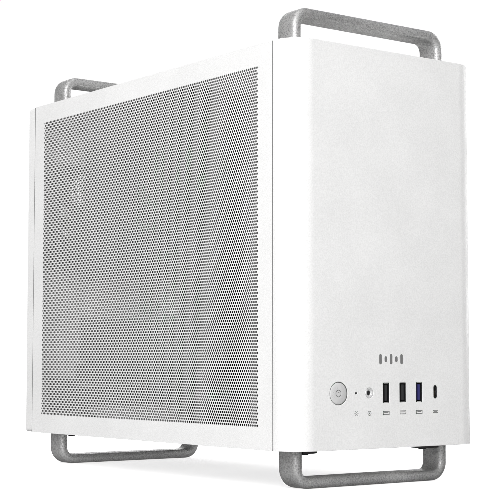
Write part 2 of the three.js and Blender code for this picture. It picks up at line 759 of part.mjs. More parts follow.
// The bracket: a back plate on the front frame and a ledge under each end of the supply.
function makeSupplyBracket() {
  const backY = [frontY + frontFrameDepth + 1.5, frontY + frontFrameDepth + 1.5 + innerSheet];
  const back = block([-72, 72], backY, [supplyZ[0] - 12, supplyZ[1] + 12]);
  const ledgeWidth = 7.5;
  const ledges = [
    [supplyX[0], supplyX[0] + ledgeWidth],
    [supplyX[1] - ledgeWidth, supplyX[1]],
  ].map((x) => block(x, [backY[0], supplyY[1]], [supplyZ[0] - 1.6, supplyZ[0] - 0.2]));
  addPart("power_supply_bracket", joined([back, ...ledges]), blackSteel());
}

// ---------------------------------------------------------------- internal cables

// A round cable along a smooth curve through the given points.
function cableAlong(points, radius, steps) {
  const stations = points.map((point) => new THREE.Vector3(...point));
  const curve = new THREE.CatmullRomCurve3(stations, false, "centripetal");
  const section = new THREE.Shape();
  const sides = 8;
  for (let i = 0; i < sides; i += 1) {
    const angle = (i * 2 * Math.PI) / sides;
    const point = [radius * Math.cos(angle), radius * Math.sin(angle)];
    if (i === 0) section.moveTo(...point);
    else section.lineTo(...point);
  }
  return solidOf(new THREE.ExtrudeGeometry(section, { steps, extrudePath: curve, bevelEnabled: false }));
}

// The extension lead from the rear inlet to the supply, along the floor of the case.
function makeMainsLead() {
  const radius = 3.5;
  const low = floorZ + radius + 1;
  const startY = rearWallY + innerSheet - 19 - gap;
  const route = [
    [inletX, startY, inletZ],
    [inletX, startY - 10, inletZ - 1],
    [inletX - 1, startY - 50, low + 4],
    [inletX - 2, startY - 90, low],
    [inletX - 2, 0, low],
    [inletX - 1, -60, low + 2],
    [inletX + 6, -98, low + 20],
    [supplyInletX - 6, supplyMiddleY - 1, low + 52],
    [supplyInletX, supplyMiddleY, supplyZ[0] - 17],
    [supplyInletX, supplyMiddleY, supplyZ[0] - 10],
  ];
  const plugZ = [supplyZ[0] - 13, supplyZ[0] + 10];
  const plug = block(about(supplyInletX, 23.6), about(supplyMiddleY, 15.8), plugZ);
  addPart("mains_lead", cableAlong(route, radius, 44).add(plug), cableSleeve());
}

function makeBoardPowerCable() {
  const plugX = [38, 51.7];
  const plugY = boardFrontY + 7;
  const plug = block(plugX, about(plugY, 10.6), about(powerSocketZ, 52));
  const route = [
    [30, supplyMiddleY, supplyZ[1] + 2 * gap],
    [30, supplyMiddleY, supplyZ[1] + 6],
    [31, supplyMiddleY + 4, supplyZ[1] + 16],
    [34, supplyMiddleY + 18, supplyZ[1] + 21],
    [36, supplyY[1] + 10, supplyZ[1] + 12],
    [32, supplyY[1] + 18, supplyZ[1] - 12],
    [26, plugY - 4, powerSocketZ + 8],
    [30, plugY, powerSocketZ],
    [40, plugY, powerSocketZ],
  ];
  addPart("board_power_cable", cableAlong(route, 5, 30).add(plug), cableSleeve());
}

function makeGraphicsPowerCable() {
  const plugX = [-58, -47.3];
  const plug = block(plugX, about(-20, 20), about(slotZ[3] - 12, 11));
  const route = [
    [-30, supplyMiddleY, supplyZ[1] + 2 * gap],
    [-30, supplyMiddleY, supplyZ[1] + 6],
    [-32, supplyMiddleY + 4, supplyZ[1] + 14],
    [-38, supplyMiddleY + 18, supplyZ[1] + 18],
    [-50, supplyY[1] + 12, supplyZ[1] + 4],
    [-62, supplyY[1] + 28, supplyZ[1] - 36],
    [-72, -42, slotZ[3] + 24],
    [-74, -26, slotZ[3] - 2],
    [-68, -20, slotZ[3] - 12],
    [-56, -20, slotZ[3] - 12],
  ];
  addPart("graphics_power_cable", cableAlong(route, 4, 34).add(plug), cableSleeve());
}

function makeFrontCable() {
  const plug = block([50, 56.7], about(headerY, 12), about(boardBottomZ + 6, 7));
  const startY = connectorBoardY[1] + 2 * gap;
  const route = [
    [15, startY, connectorZ],
    [15, startY + 12, connectorZ - 2],
    [18, startY + 30, connectorZ - 14],
    [26, -100, floorZ + 8],
    [38, -66, floorZ + 8],
    [43, headerY - 3, boardBottomZ + 4],
    [46, headerY, boardBottomZ + 6],
    [52, headerY, boardBottomZ + 6],
  ];
  addPart("front_cable", cableAlong(route, 2.5, 30).add(plug), cableSleeve());
}

// ---------------------------------------------------------------- assembly

makeFrontPanel();
makeSidePanel("left_side_panel", -1);
makeSidePanel("right_side_panel", 1);
makeCoverPlate("top_plate", [ceilingZ, bodyTop], -1);
makeCoverPlate("bottom_plate", [bodyBottom, floorZ], 1);
makeFrontFrame();
makeRearPanel();
makeMotherboardTray();
makeHandles();
makePowerButton();
makePowerSwitch();
makeConnectorBoard();
usbPortX.forEach((x, i) => makeUsbPort(`usb_a_port_${i + 1}`, x));
makeTypeCPort();
makeAudioJack();
makeLightPipe();
makeCaseFans();
makeMotherboard();
makeProcessorSocket();
makeCooler();
makeMemory();
makeDrive();
makeRearPorts();
makePortShield();
makeSlotCovers();
makeMainsInlet();
makeGraphicsCard();
makePowerSupply();
makeRocker();
makeSupplyBracket();
makeMainsLead();
makeBoardPowerCable();
makeGraphicsPowerCable();
makeFrontCable();

export default tower;
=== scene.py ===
"""The looks of a compact white computer tower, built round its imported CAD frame."""

import math
import random

import bmesh
import bpy
from mathutils import Matrix, Vector
from mathutils.geometry import delaunay_2d_cdt

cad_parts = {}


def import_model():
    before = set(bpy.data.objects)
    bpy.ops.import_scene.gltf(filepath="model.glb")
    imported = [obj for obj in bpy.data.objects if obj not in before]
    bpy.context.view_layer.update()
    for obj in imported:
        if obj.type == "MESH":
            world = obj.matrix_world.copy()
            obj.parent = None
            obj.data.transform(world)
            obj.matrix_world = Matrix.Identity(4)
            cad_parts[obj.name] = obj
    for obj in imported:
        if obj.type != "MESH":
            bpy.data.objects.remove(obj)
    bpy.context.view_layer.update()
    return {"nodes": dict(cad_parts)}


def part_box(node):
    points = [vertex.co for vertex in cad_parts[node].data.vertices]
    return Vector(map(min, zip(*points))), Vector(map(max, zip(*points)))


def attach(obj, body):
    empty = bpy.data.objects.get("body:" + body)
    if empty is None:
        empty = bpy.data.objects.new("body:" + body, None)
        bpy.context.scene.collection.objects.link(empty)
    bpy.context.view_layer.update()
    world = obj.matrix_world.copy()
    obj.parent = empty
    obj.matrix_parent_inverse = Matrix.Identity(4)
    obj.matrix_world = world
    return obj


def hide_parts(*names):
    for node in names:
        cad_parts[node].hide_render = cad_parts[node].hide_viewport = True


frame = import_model()

MM = 0.001
SIDES = (-1, 1)
chance = random.Random(11)


def span(node):
    """A CAD node's spans in x, y and z, in millimetres."""
    low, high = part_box(node)
    return [(round(low[i] / MM, 2), round(high[i] / MM, 2)) for i in range(3)]


def about(middle, length):
    return (middle - length / 2, middle + length / 2)


def mid(pair):
    return (pair[0] + pair[1]) / 2


def middle(node):
    """The middle of a CAD node's box, in millimetres."""
    return [mid(pair) for pair in span(node)]


def grown(pair, by):
    """A span with both its ends moved outwards."""
    return (pair[0] - by, pair[1] + by)


def mirrored(side, a, b):
    """The span from a to b, or its mirror image when side is -1."""
    return sorted((side * a, side * b))


def every(first, second):
    """Each pair of a value from the first list and one from the second."""
    return [(a, b) for a in first for b in second]


# ---- materials


def put(tree, socket, value):
    """Links a socket to another node's output, or sets it to a value."""
    if isinstance(value, bpy.types.NodeSocket):
        tree.links.new(value, socket)
    else:
        socket.default_value = value


def add_node(tree, kind, inputs, output=0, **settings):
    """A new node with its settings and inputs. Gives one of its outputs."""
    made = tree.nodes.new(f"ShaderNode{kind}")
    for name, value in settings.items():
        setattr(made, name, value)
    for name, value in inputs.items():
        put(tree, made.inputs[name], value)
    return made.outputs[output]


def coordinates(tree, kind="Object"):
    return add_node(tree, "TexCoord", {}, kind)


def maths(tree, operation, *values):
    return add_node(tree, "Math", dict(enumerate(values)), operation=operation)


def length(tree, vector):
    return add_node(tree, "VectorMath", {0: vector}, "Value", operation="LENGTH")


def noise(tree, scale, detail=3):
    """Object-space noise, its scale in features per metre."""
    inputs = {"Vector": coordinates(tree), "Scale": scale, "Detail": detail, "Roughness": 0.6}
    return add_node(tree, "TexNoise", inputs, "Fac")


def ranged(tree, value, low, high, start=0.3, end=0.7):
    """A value moved from one range to another."""
    limits = {"From Min": start, "From Max": end, "To Min": low, "To Max": high}
    return add_node(tree, "MapRange", {"Value": value, **limits}, "Result")


def tinted(tree, value, dark, light):
    """A colour between two, by a value from 0 to 1."""
    inputs = {"Factor": value, "A": (*dark, 1), "B": (*light, 1)}
    return add_node(tree, "Mix", inputs, "Result", data_type="RGBA")


def bumped(tree, height, strength, depth):
    inputs = {"Height": height, "Strength": strength, "Distance": depth * MM}
    return add_node(tree, "Bump", inputs, "Normal")


slot_of = {}


def material(name, slot=None):
    """A new material and its node tree. The slot named here is kept in a table by the material's name."""
    made = bpy.data.materials.new(name)
    made.use_nodes = True
    slot_of[made.name] = slot
    return made, made.node_tree


def paint(tree, inputs):
    """Sets or links the main shader's inputs."""
    for name, value in inputs.items():
        put(tree, tree.nodes["Principled BSDF"].inputs[name], value)


def finish(name, slot, colour, roughness, metallic=0.0, grain=0.7, bump=0.3, depth=0.05, tone=0.06,
           spread=0.08, sparkle=0.0):
    """A surface with fine grain, patches of wear in its roughness, and slight changes of tone.

    Grain is the size of the grain in millimetres, and depth how far its bumps stand up.
    Sparkle makes the roughness change from grain to grain too."""
    made, tree = material(name, slot)
    fine = noise(tree, 1 / (grain * MM))
    broad = noise(tree, 22, 4)
    dark = tuple(c * (1 - tone) for c in colour)
    light = tuple(min(1, c * (1 + tone)) for c in colour)
    mottle = maths(tree, "ADD", ranged(tree, broad, 0, 0.25), ranged(tree, fine, 0, 0.75))
    worn = ranged(tree, broad, roughness - spread, roughness + spread)
    if sparkle:
        worn = maths(tree, "SUBTRACT", worn, ranged(tree, fine, 0, sparkle, 0.52, 0.68))
    paint(tree, {
        "Base Color": tinted(tree, mottle, dark, light),
        "Roughness": worn,
        "Metallic": metallic,
        "Normal": bumped(tree, fine, bump, depth),
    })
    return made


def ringed(name, slot, colour, roughness, pitch, metallic):
    """Turned metal: fine rings round the object's own Y axis, and the fan-shaped sheen they give."""
    made, tree = material(name, slot)
    across = add_node(tree, "VectorMath", {0: coordinates(tree), 1: (1, 0, 1)}, operation="MULTIPLY")
    radius = length(tree, across)
    wave = maths(tree, "SINE", maths(tree, "MULTIPLY", radius, 2 * math.pi / (pitch * MM)))
    rings = ranged(tree, wave, 0, 1, -1, 1)
    dark = tuple(c * 0.86 for c in colour)
    paint(tree, {
        "Base Color": tinted(tree, rings, dark, colour),
        "Roughness": ranged(tree, noise(tree, 300, 2), roughness - 0.05, roughness + 0.05),
        "Metallic": metallic,
        "Anisotropic": 0.8,
        "Tangent": add_node(tree, "Tangent", {}, "Tangent", direction_type="RADIAL", axis="Y"),
        "Normal": bumped(tree, rings, 0.3, 0.02),
    })
    return made


# Name, slot, colour, roughness, metallic, grain, bump, depth, tone, spread
white = finish("white_powder", "white_paint", (0.87, 0.87, 0.865), 0.48, 0, 0.9, 1, 0.13, 0.1)
aluminium = finish("blasted_aluminium", "blasted_aluminium", (0.47, 0.47, 0.468), 0.52, 0.6, 1.15, 1, 0.16,
                   0.6, sparkle=0.35)
turned = ringed("turned_steel", "turned_steel", (0.9, 0.9, 0.9), 0.3, 0.32, 0.35)
satin = finish("satin_steel", "bare_steel", (0.84, 0.84, 0.84), 0.4, 0.45, 0.5, 0.2, 0.02, 0.05)
steel = finish("zinc_steel", "bare_steel", (0.62, 0.62, 0.63), 0.36, 1, 1.2, 0.15, 0.03, 0.06)
chrome = finish("bright_steel", "bare_steel", (0.8, 0.8, 0.81), 0.2, 1, 0.8, 0.1, 0.01, 0.03, 0.06)
brass = finish("gold_contacts", "bare_steel", (0.83, 0.62, 0.27), 0.3, 1, 0.6, 0.1, 0.01, 0.05)
black_steel = finish("black_powder", "black_steel", (0.022, 0.022, 0.023), 0.5, 0, 0.5, 0.4, 0.05, 0.2)
black = finish("black_plastic", "black_plastic", (0.012, 0.012, 0.013), 0.42, 0, 0.35, 0.3, 0.03, 0.2)
fan_black = finish("fan_plastic", "fan_plastic", (0.018, 0.018, 0.019), 0.38, 0, 0.8, 0.15, 0.03, 0.2)
tongue_grey = finish("tongue_plastic", "black_plastic", (0.03, 0.03, 0.032), 0.4, 0, 0.3, 0.2, 0.02, 0.1)
blue = finish("blue_plastic", "black_plastic", (0.036, 0.034, 0.16), 0.4, 0, 0.3, 0.2, 0.02, 0.1)
board = finish("solder_mask", "circuit_board", (0.008, 0.014, 0.012), 0.35, 0, 2.5, 0.25, 0.05, 0.35)
chip = finish("chip_epoxy", "circuit_board", (0.016, 0.016, 0.016), 0.6, 0, 0.3, 0.3, 0.02, 0.15)
fin_metal = finish("fin_metal", "cooler_metal", (0.76, 0.76, 0.77), 0.3, 1, 0.9, 0.15, 0.02, 0.05)
copper = finish("plated_copper", "cooler_metal", (0.72, 0.7, 0.68), 0.22, 1, 0.8, 0.1, 0.01, 0.05)
sleeve = finish("cable_sleeve", "cable_sleeve", (0.012, 0.012, 0.012), 0.62, 0, 0.5, 0.5, 0.08, 0.25)
rubber = finish("rubber", "black_plastic", (0.02, 0.02, 0.02), 0.75, 0, 0.6, 0.3, 0.04, 0.2)
smoked = finish("smoked_lens", "light_pipe", (0.02, 0.02, 0.022), 0.15, 0, 0.8, 0.05, 0.01, 0.1)
# Grey for the printed marks and badge; also painted shade in the side seams and the button's groove.
print_and_shade_grey = finish("grey_print_and_painted_shade", None, (0.2, 0.2, 0.2), 0.55, 0, 0.5, 0.1, 0.01, 0.08)
# Dark grey that paints the shade inside the sheet's holes and in the gap round the power button.
painted_shade_grey = finish("painted_hole_and_gap_shade", "black_plastic", (0.16, 0.16, 0.16), 0.6, 0, 0.6, 0.2, 0.03, 0.1)


# ---- shapes

AXES = {"x": (1, 2, 0), "y": (2, 0, 1), "z": (0, 1, 2)}


def at(axis, u, v, w):
    """A point by its two places across an axis and its station along it."""
    point = [0, 0, 0]
    for index, value in zip(AXES[axis], (u, v, w)):
        point[index] = value
    return tuple(point)


def polar(centre, radius, angle):
    """A point at a distance from a centre, by an angle in radians."""
    return (centre[0] + radius * math.cos(angle), centre[1] + radius * math.sin(angle))


def arc(centre, radius, start, end, steps):
    """Points on an arc, its angles in degrees."""
    return [polar(centre, radius, math.radians(start + (end - start) * i / steps)) for i in range(steps + 1)]


def rounded(u, v, radius, steps=5):
    """A rectangle's outline with rounded corners, anticlockwise."""
    if radius <= 0:
        return [(u[0], v[0]), (u[1], v[0]), (u[1], v[1]), (u[0], v[1])]
    corners = [(u[1], v[0], -90), (u[1], v[1], 0), (u[0], v[1], 90), (u[0], v[0], 180)]
    line = []
    for a, b, turn in corners:
        centre = (a - radius if a == u[1] else a + radius, b - radius if b == v[1] else b + radius)
        line += arc(centre, radius, turn, turn + 90, steps)
    return line


def circle(centre, radius, steps=32):
    return arc(centre, radius, 0, 360 - 360 / steps, steps - 1)


def within(u, v, loop):
    """Whether a point lies inside a closed outline."""
    inside = False
    for (a, b), (c, d) in zip(loop, loop[1:] + loop[:1]):
        if (b > v) != (d > v) and u < a + (c - a) * (v - b) / (d - b):
            inside = not inside
    return inside


def walls_between(n):
    """The faces between two copies of a closed outline of n points."""
    return [(i, (i + 1) % n, (i + 1) % n + n, i + n) for i in range(n)]


class Shape:
    """One piece in the making, in millimetres: points, faces and each face's material."""

    def __init__(self):
        self.points = []
        self.faces = []
        self.paint = []

    def add(self, points, faces, material=0):
        start = len(self.points)
        self.points += points
        self.faces += [tuple(i + start for i in face) for face in faces]
        self.paint += [material] * len(faces)
        return self

    def prism(self, outline, axis, stations, material=0):
        """An outline across an axis, made solid between two stations."""
        n = len(outline)
        points = [at(axis, u, v, w) for w in stations for u, v in outline]
        ends = [tuple(range(n - 1, -1, -1)), tuple(range(n, 2 * n))]
        return self.add(points, walls_between(n) + ends, material)

    def box(self, x, y, z, material=0):
        return self.prism(rounded(x, y, 0), "z", z, material)

    def rod(self, axis, centre, radius, stations, sides=24, material=0):
        return self.prism(circle(centre, radius, sides), axis, stations, material)

    def turn(self, profile, axis, centre, sides=32, material=0):
        """A closed profile of radius and station, turned round an axis."""
        n = len(profile)
        points, faces = [], []
        for i in range(sides):
            j = (i + 1) % sides
            points += [at(axis, *polar(centre, r, 2 * math.pi * i / sides), w) for r, w in profile]
            faces += [(i * n + k, j * n + k, j * n + (k + 1) % n, i * n + (k + 1) % n) for k in range(n)]
        return self.add(points, faces, material)

    def sweep(self, section, path, across, material=0):
        """A section carried along a path. Its second offsets lie along the vector across."""
        n = len(section)
        points, faces = [], []
        side = Vector(across).normalized()
        for i, here in enumerate(path):
            ahead = Vector(path[min(i + 1, len(path) - 1)]) - Vector(path[max(i - 1, 0)])
            lead = side.cross(ahead).normalized()
            flat = ahead.cross(lead).normalized()
            points += [tuple(Vector(here) + lead * a + flat * b) for a, b in section]
        for i in range(0, n * (len(path) - 1), n):
            faces += [(i + k, i + (k + 1) % n, i + n + (k + 1) % n, i + n + k) for k in range(n)]
        faces += [tuple(range(n - 1, -1, -1)), tuple(range(len(points) - n, len(points)))]
        return self.add(points, faces, material)

    def plate(self, outline, holes, axis, stations, fields=(), material=0):
        """A flat sheet with holes. Fields are filled by sheets of their own, so they get no walls."""
        flat, edges = [], []
        for loop in [outline, *holes, *(field.outline() for field in fields)]:
            start = len(flat)
            flat += [Vector(p) for p in loop]
            edges += [(start + i, start + (i + 1) % len(loop)) for i in range(len(loop))]
        made = delaunay_2d_cdt(flat, edges, [], 1, 1e-6)
        kept = []
        for face in made[2]:
            u, v = sum((made[0][i] for i in face), Vector((0, 0))) / len(face)
            open_here = [field for field in fields if field.holds(u, v)]
            open_here += [hole for hole in holes if within(u, v, hole)]
            if not open_here:
                kept.append(tuple(face))
        self.add([at(axis, *p, stations[0]) for p in made[0]], [f[::-1] for f in kept], material)
        self.add([at(axis, *p, stations[1]) for p in made[0]], kept, material)
        for loop in [outline, *holes]:
            points = [at(axis, u, v, w) for w in stations for u, v in loop]
            walls = walls_between(len(loop))
            self.add(points, walls if loop is outline else [f[::-1] for f in walls], material)
        return self

    def moved(self, matrix):
        self.points = [tuple(matrix @ Vector(p)) for p in self.points]
        return self

    def make(self, name, materials, replaces=(), bevel=0, segments=2, angle=35, slot=None, body="case",
             fix=True, origin=(0, 0, 0)):
        """The shape as a piece that rides on a body. Its slot, from its first material unless one is given,
        is worked out but not put on the piece.
        """
        materials = materials if isinstance(materials, list) else [materials]
        mesh = bpy.data.meshes.new(name)
        home = Vector(origin)
        mesh.from_pydata([(Vector(p) - home) * MM for p in self.points], [], self.faces)
        mesh.polygons.foreach_set("material_index", self.paint)
        for each in materials:
            mesh.materials.append(each)
        mesh.polygons.foreach_set("use_smooth", [True] * len(mesh.polygons))
        if fix:
            tidy(mesh)
        piece = bpy.data.objects.new(name, mesh)
        piece.location = home * MM
        bpy.context.scene.collection.objects.link(piece)
        if bevel:
            soften(piece, bevel, segments, angle)
            settled(piece)
        else:
            mesh.set_sharp_from_angle(angle=math.radians(angle))
        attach(piece, body)
        slot = slot or slot_of[materials[0].name]
        if replaces:
            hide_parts(*replaces)
        return piece


def tidy(mesh):
    """Joins points that coincide and turns every closed shell's faces outwards."""
    work = bmesh.new()
    work.from_mesh(mesh)
    bmesh.ops.remove_doubles(work, verts=work.verts, dist=0.002 * MM)
    bmesh.ops.recalc_face_normals(work, faces=work.faces)
    work.to_mesh(mesh)
    work.free()


def settled(piece):
    """Puts the result of a piece's modifiers into its mesh."""
    view = bpy.context.evaluated_depsgraph_get()
    old = piece.data
    piece.data = bpy.data.meshes.new_from_object(piece.evaluated_get(view))
    piece.modifiers.clear()
    bpy.data.meshes.remove(old)


def soften(piece, width, segments, angle):
    """Rounds the edges that are sharper than an angle."""
    rounding = piece.modifiers.new("rounding", "BEVEL")
    rounding.width = width * MM
    rounding.segments = segments
    rounding.limit_method = "ANGLE"
    rounding.angle_limit = math.radians(angle)
    rounding.harden_normals = True


def carve(shape, cutter):
    """The shape with the cutter's solid taken out of it."""
    pair = []
    for part in (shape, cutter):
        mesh = bpy.data.meshes.new("carving")
        mesh.from_pydata([Vector(p) * MM for p in part.points], [], part.faces)
        mesh.polygons.foreach_set("material_index", part.paint)
        for _ in range(max(part.paint) + 1):
            mesh.materials.append(None)
        tidy(mesh)
        pair.append(bpy.data.objects.new("carving", mesh))
        bpy.context.scene.collection.objects.link(pair[-1])
    taking = pair[0].modifiers.new("taking", "BOOLEAN")
    taking.object = pair[1]
    taking.operation = "DIFFERENCE"
    taking.solver = "EXACT"
    taking.use_self = True
    settled(pair[0])
    mesh = pair[0].data
    made = Shape()
    made.points = [tuple(v.co / MM) for v in mesh.vertices]
    made.faces = [tuple(p.vertices) for p in mesh.polygons]
    made.paint = [min(p.material_index, max(shape.paint)) for p in mesh.polygons]
    for each in pair:
        bpy.data.objects.remove(each)
    return made


# ---- perforated sheet

PITCH = 2.44
HOLE = 0.94
FIELD_SKIN = 0.45


class Field:
    """A field of staggered round holes in a flat sheet, centred at (u, v) across an axis."""

    def __init__(self, u, v, columns, rows, hole=HOLE):
        self.row = PITCH * math.sin(math.radians(60))
        self.hole = hole
        self.columns, self.rows = columns, rows
        self.left = u - columns * PITCH / 2
        self.low = v - rows * self.row / 2
        self.stops = 2 * columns

    def corner(self, i, j):
        return (self.left + j * PITCH / 2, self.low + i * self.row)

    def holds(self, u, v):
        right, high = self.corner(self.rows, self.stops)
        return self.left < u < right and self.low < v < high

    def outline(self):
        """The field's edge, anticlockwise, with every point that its cells have there."""
        line = [self.corner(0, j) for j in range(self.stops)]
        line += [self.corner(i, self.stops) for i in range(self.rows)]
        line += [self.corner(self.rows, j) for j in range(self.stops, 0, -1)]
        line += [self.corner(i, 0) for i in range(self.rows, 0, -1)]
        return line

    def band(self, axis, stations, first, last):
        """The sheet of some rows of holes. Each hole has eight sides, in a cell with six edge points."""
        shape = Shape()
        wide = self.stops + 1
        high = last - first + 1
        points = [at(axis, *self.corner(i, j), w)
                  for w in stations for i in range(first, last + 1) for j in range(wide)]
        faces, walls = [], []
        spokes = [math.radians(22.5 + 45 * k) for k in range(8)]
        for i in range(last - first):
            odd = (i + first) % 2
            for k in range(self.columns - odd):
                j = 2 * k + odd
                centre = self.corner(i + first + 0.5, j + 1)
                base = len(points)
                for level, w in enumerate(stations):
                    points += [at(axis, *polar(centre, self.hole, a), w) for a in spokes]
                    here = (level * high + i) * wide + j
                    e = [here + wide + 2, here + wide + 1, here + wide, here, here + 1, here + 2]
                    h = [base + 8 * level + s for s in range(8)]
                    made = [
                        (e[0], e[1], h[1], h[0]), (e[1], h[2], h[1]), (e[1], e[2], h[3], h[2]),
                        (e[2], e[3], h[4], h[3]), (e[3], e[4], h[5], h[4]), (e[4], h[6], h[5]),
                        (e[4], e[5], h[7], h[6]), (e[5], e[0], h[0], h[7]),
                    ]
                    faces += made if level else [f[::-1] for f in made]
                for s in range(8):
                    t = (s + 1) % 8
                    walls.append((base + t, base + s, base + 8 + s, base + 8 + t))
            if odd:
                for level, j in every((0, 1), (0, self.stops - 1)):
                    here = (level * high + i) * wide + j
                    face = (here, here + 1, here + wide + 1, here + wide)
                    faces.append(face if level else face[::-1])
        shape.add(points, faces)
        shape.faces += walls
        # The hole walls take the second material, the dark grey that paints the shade inside the holes.
        shape.paint += [1] * len(walls)
        return shape

    def make(self, name, axis, stations, body="case", bands=1):
        stops = [round(self.rows * k / bands) for k in range(bands + 1)]
        for k in range(bands):
            label = name if bands == 1 else f"{name}_{k + 1}"
            sheet = self.band(axis, stations, stops[k], stops[k + 1])
            # White sheet, with hole walls in the dark grey of painted shade.
            sheet.make(label, [white, painted_shade_grey], fix=False, angle=30, body=body)


# ---- sizes worked out from the frame

panel_x, panel_y, panel_z = span("front_panel")
_, side_y, side_z = span("left_side_panel")
top_x, top_y, top_z = span("top_plate")
rear_x, rear_y, rear_z = span("rear_panel")
button_x, button_y, button_z = span("power_button")
USB_PORTS = [span(f"usb_a_port_{i}") for i in (1, 2, 3)]
TYPE_C = span("usb_c_port")
JACK_X = mid(span("audio_jack")[0])
LIGHT_X = mid(span("status_light_pipe")[0])
BUTTON_X = mid(button_x)
CONNECTOR_Z = round(mid(button_z), 1)
MARKS_RISE = 25
BADGE_RISE = 63.2
FACE_Y = panel_y[0]
FACE_X = panel_x[1]
WALL_Y = rear_y[0]
FRONT_SKIN, SIDE_SKIN, COVER_SKIN = 2.0, 1.5, 1.5
CORNER = 20
BUTTON_R = 7.75
PRINT = 0.02
INSET = 0.15
GAP = 0.3


# ---- the shell


def front_outline():
    """The front panel from above: a front face, two round corners and two short sides."""
    x, y, rear = FACE_X - CORNER, FACE_Y + PRINT + CORNER, panel_y[1]
    inner = CORNER - FRONT_SKIN
    line = [(-FACE_X, rear), *arc((-x, y), CORNER, 180, 270, 24), *arc((x, y), CORNER, 270, 360, 24)]
    line += [(FACE_X, rear), (FACE_X - FRONT_SKIN, rear)]
    line += arc((x, y), inner, 0, -90, 24) + arc((-x, y), inner, -90, -180, 24)
    return line + [(-FACE_X + FRONT_SKIN, rear)]


def front_panel():
    shell = Shape().prism(front_outline(), "z", panel_z)
    through = (FACE_Y - 2, FACE_Y + FRONT_SKIN + 2)
    holes = Shape()
    for x, radius in ((BUTTON_X, BUTTON_R + 0.4), (LIGHT_X, 0.95), (JACK_X, 3.8)):
        holes.rod("y", (CONNECTOR_Z, x), radius, through, 48)
    for x, _, z in USB_PORTS:
        holes.prism(rounded(grown(z, GAP), grown(x, GAP), 0.5), "y", through)
    width = grown(TYPE_C[0], GAP)
    holes.prism(rounded(grown(TYPE_C[2], GAP), width, (width[1] - width[0]) / 2 - 0.01, 10), "y", through)
    carve(shell, holes).make("front_panel_shell", white, ["front_panel"], 0.3, 3, 50)
    clips = Shape()
    for side, z in every(SIDES, (panel_z[0] + 30, panel_z[1] - 30)):
        clips.box(about(side * 74, 4), (FACE_Y + 8, panel_y[1] + 4), about(z, 12))
    clips.make("front_panel_clips", black, bevel=0.3)


def side_panel(name, side, body):
    """A side panel: a rim round a field of real holes, two stiffening ribs and four ball studs."""
    field = Field(mid(side_y), mid(side_z), 127, 121)
    back_x = FACE_X - SIDE_SKIN
    field.make(f"{name}_field", "x", mirrored(side, FACE_X - FIELD_SKIN, FACE_X), body=body, bands=5)
    rim = Shape().plate(rounded(side_y, side_z, 0.8, 3), [], "x", mirrored(side, back_x, FACE_X), [field])
    rim.make(f"{name}_rim", white, [name], 0.25, 2, 60, body=body)
    ribs = Shape()
    for z in grown(side_z, -10):
        ribs.box(mirrored(side, back_x, FACE_X - 9), (side_y[0] + 15, side_y[1] - 16), about(z, 1.2))
    ribs.make(f"{name}_ribs", white, bevel=0.2, body=body)
    studs = Shape()
    profile = [(0, 0), (2.6, 0), (2.6, 1), (1.4, 1.6), (1.4, 3.2)]
    profile += [(2.2, 4.4), (2.4, 5.4), (1.9, 6.6), (0.9, 7.4), (0, 7.5)]
    for centre in every(grown(side_y, -7), grown(side_z, -22)):
        studs.turn([(r, side * (back_x - w)) for r, w in profile], "x", centre, 20)
    studs.make(f"{name}_studs", steel, angle=50, body=body)


def painted_seam_shadows():
    """Mid-grey strips in the gaps before and behind each side panel, a painted shadow in the seams."""
    made = Shape()
    gaps = (((panel_y[1], side_y[0]), FACE_X - 0.2), ((side_y[1], rear_y[0]), rear_x[1] - 0.15))
    for side, (gap, out) in every(SIDES, gaps):
        made.box(mirrored(side, out, out - 1.3), grown(gap, 0.1), grown(side_z, -0.3))
    made.make("painted_seam_shadow_strips", print_and_shade_grey, slot="black_steel")


def cover_plate(name, low, inward):
    """The top or bottom plate: two perforated fields, and a fold along each side."""
    stations = (low, low + COVER_SKIN)
    face, start = stations[::inward]
    fields = [Field(0, -64, 44, 66), Field(0, 87, 44, 54)]
    for i, field in enumerate(fields):
        field.make(f"{name}_field_{i + 1}", "z", sorted((face, face + inward * FIELD_SKIN)))
    radius = CORNER - FRONT_SKIN - GAP
    x, y = top_x[1] - radius, top_y[0] + radius
    outline = [(-top_x[1], top_y[1]), *arc((-x, y), radius, 180, 270, 16)]
    outline += [*arc((x, y), radius, 270, 360, 16), (top_x[1], top_y[1])]
    sheet = Shape().plate(outline, [], "z", stations, fields)
    sheet.make(f"{name}_sheet", white, [name], 0.25, 2, 60)
    folds = Shape()
    height = sorted((start, start + inward * 13))
    for side in SIDES:
        folds.box(mirrored(side, 80.3, 81.5), (side_y[0] + 14, top_y[1]), height)
    folds.make(f"{name}_folds", white, bevel=0.2)


# ---- handles

HANDLE_HALF = 3.9
HANDLE_BEND = 14


def handle(name, up):
    """A flat bar with fully round edges, bent into a loop. Up is 1 on top of the tower and -1 below it."""
    x, y, z = span(name)
    bend = HANDLE_BEND - HANDLE_HALF
    outer = x[1] - HANDLE_HALF
    root, crown = (z[0], z[1] - HANDLE_HALF) if up > 0 else (z[1], z[0] + HANDLE_HALF)
    path = [(outer, mid(y), root), (outer, mid(y), crown - up * (bend + 4))]
    for u, v in arc((outer - bend, bend), bend, 0, 90, 12):
        path.append((u, mid(y), crown + up * (v - 2 * bend)))
    path += [(-u, w, v) for u, w, v in reversed(path)]
    flat = (y[1] - y[0]) / 2 - HANDLE_HALF
    section = arc((0, flat), HANDLE_HALF, 0, 180, 8) + arc((0, -flat), HANDLE_HALF, 180, 360, 8)
    Shape().sweep(section, path, (0, 1, 0)).make(f"{name}_bar", aluminium, [name], angle=60)


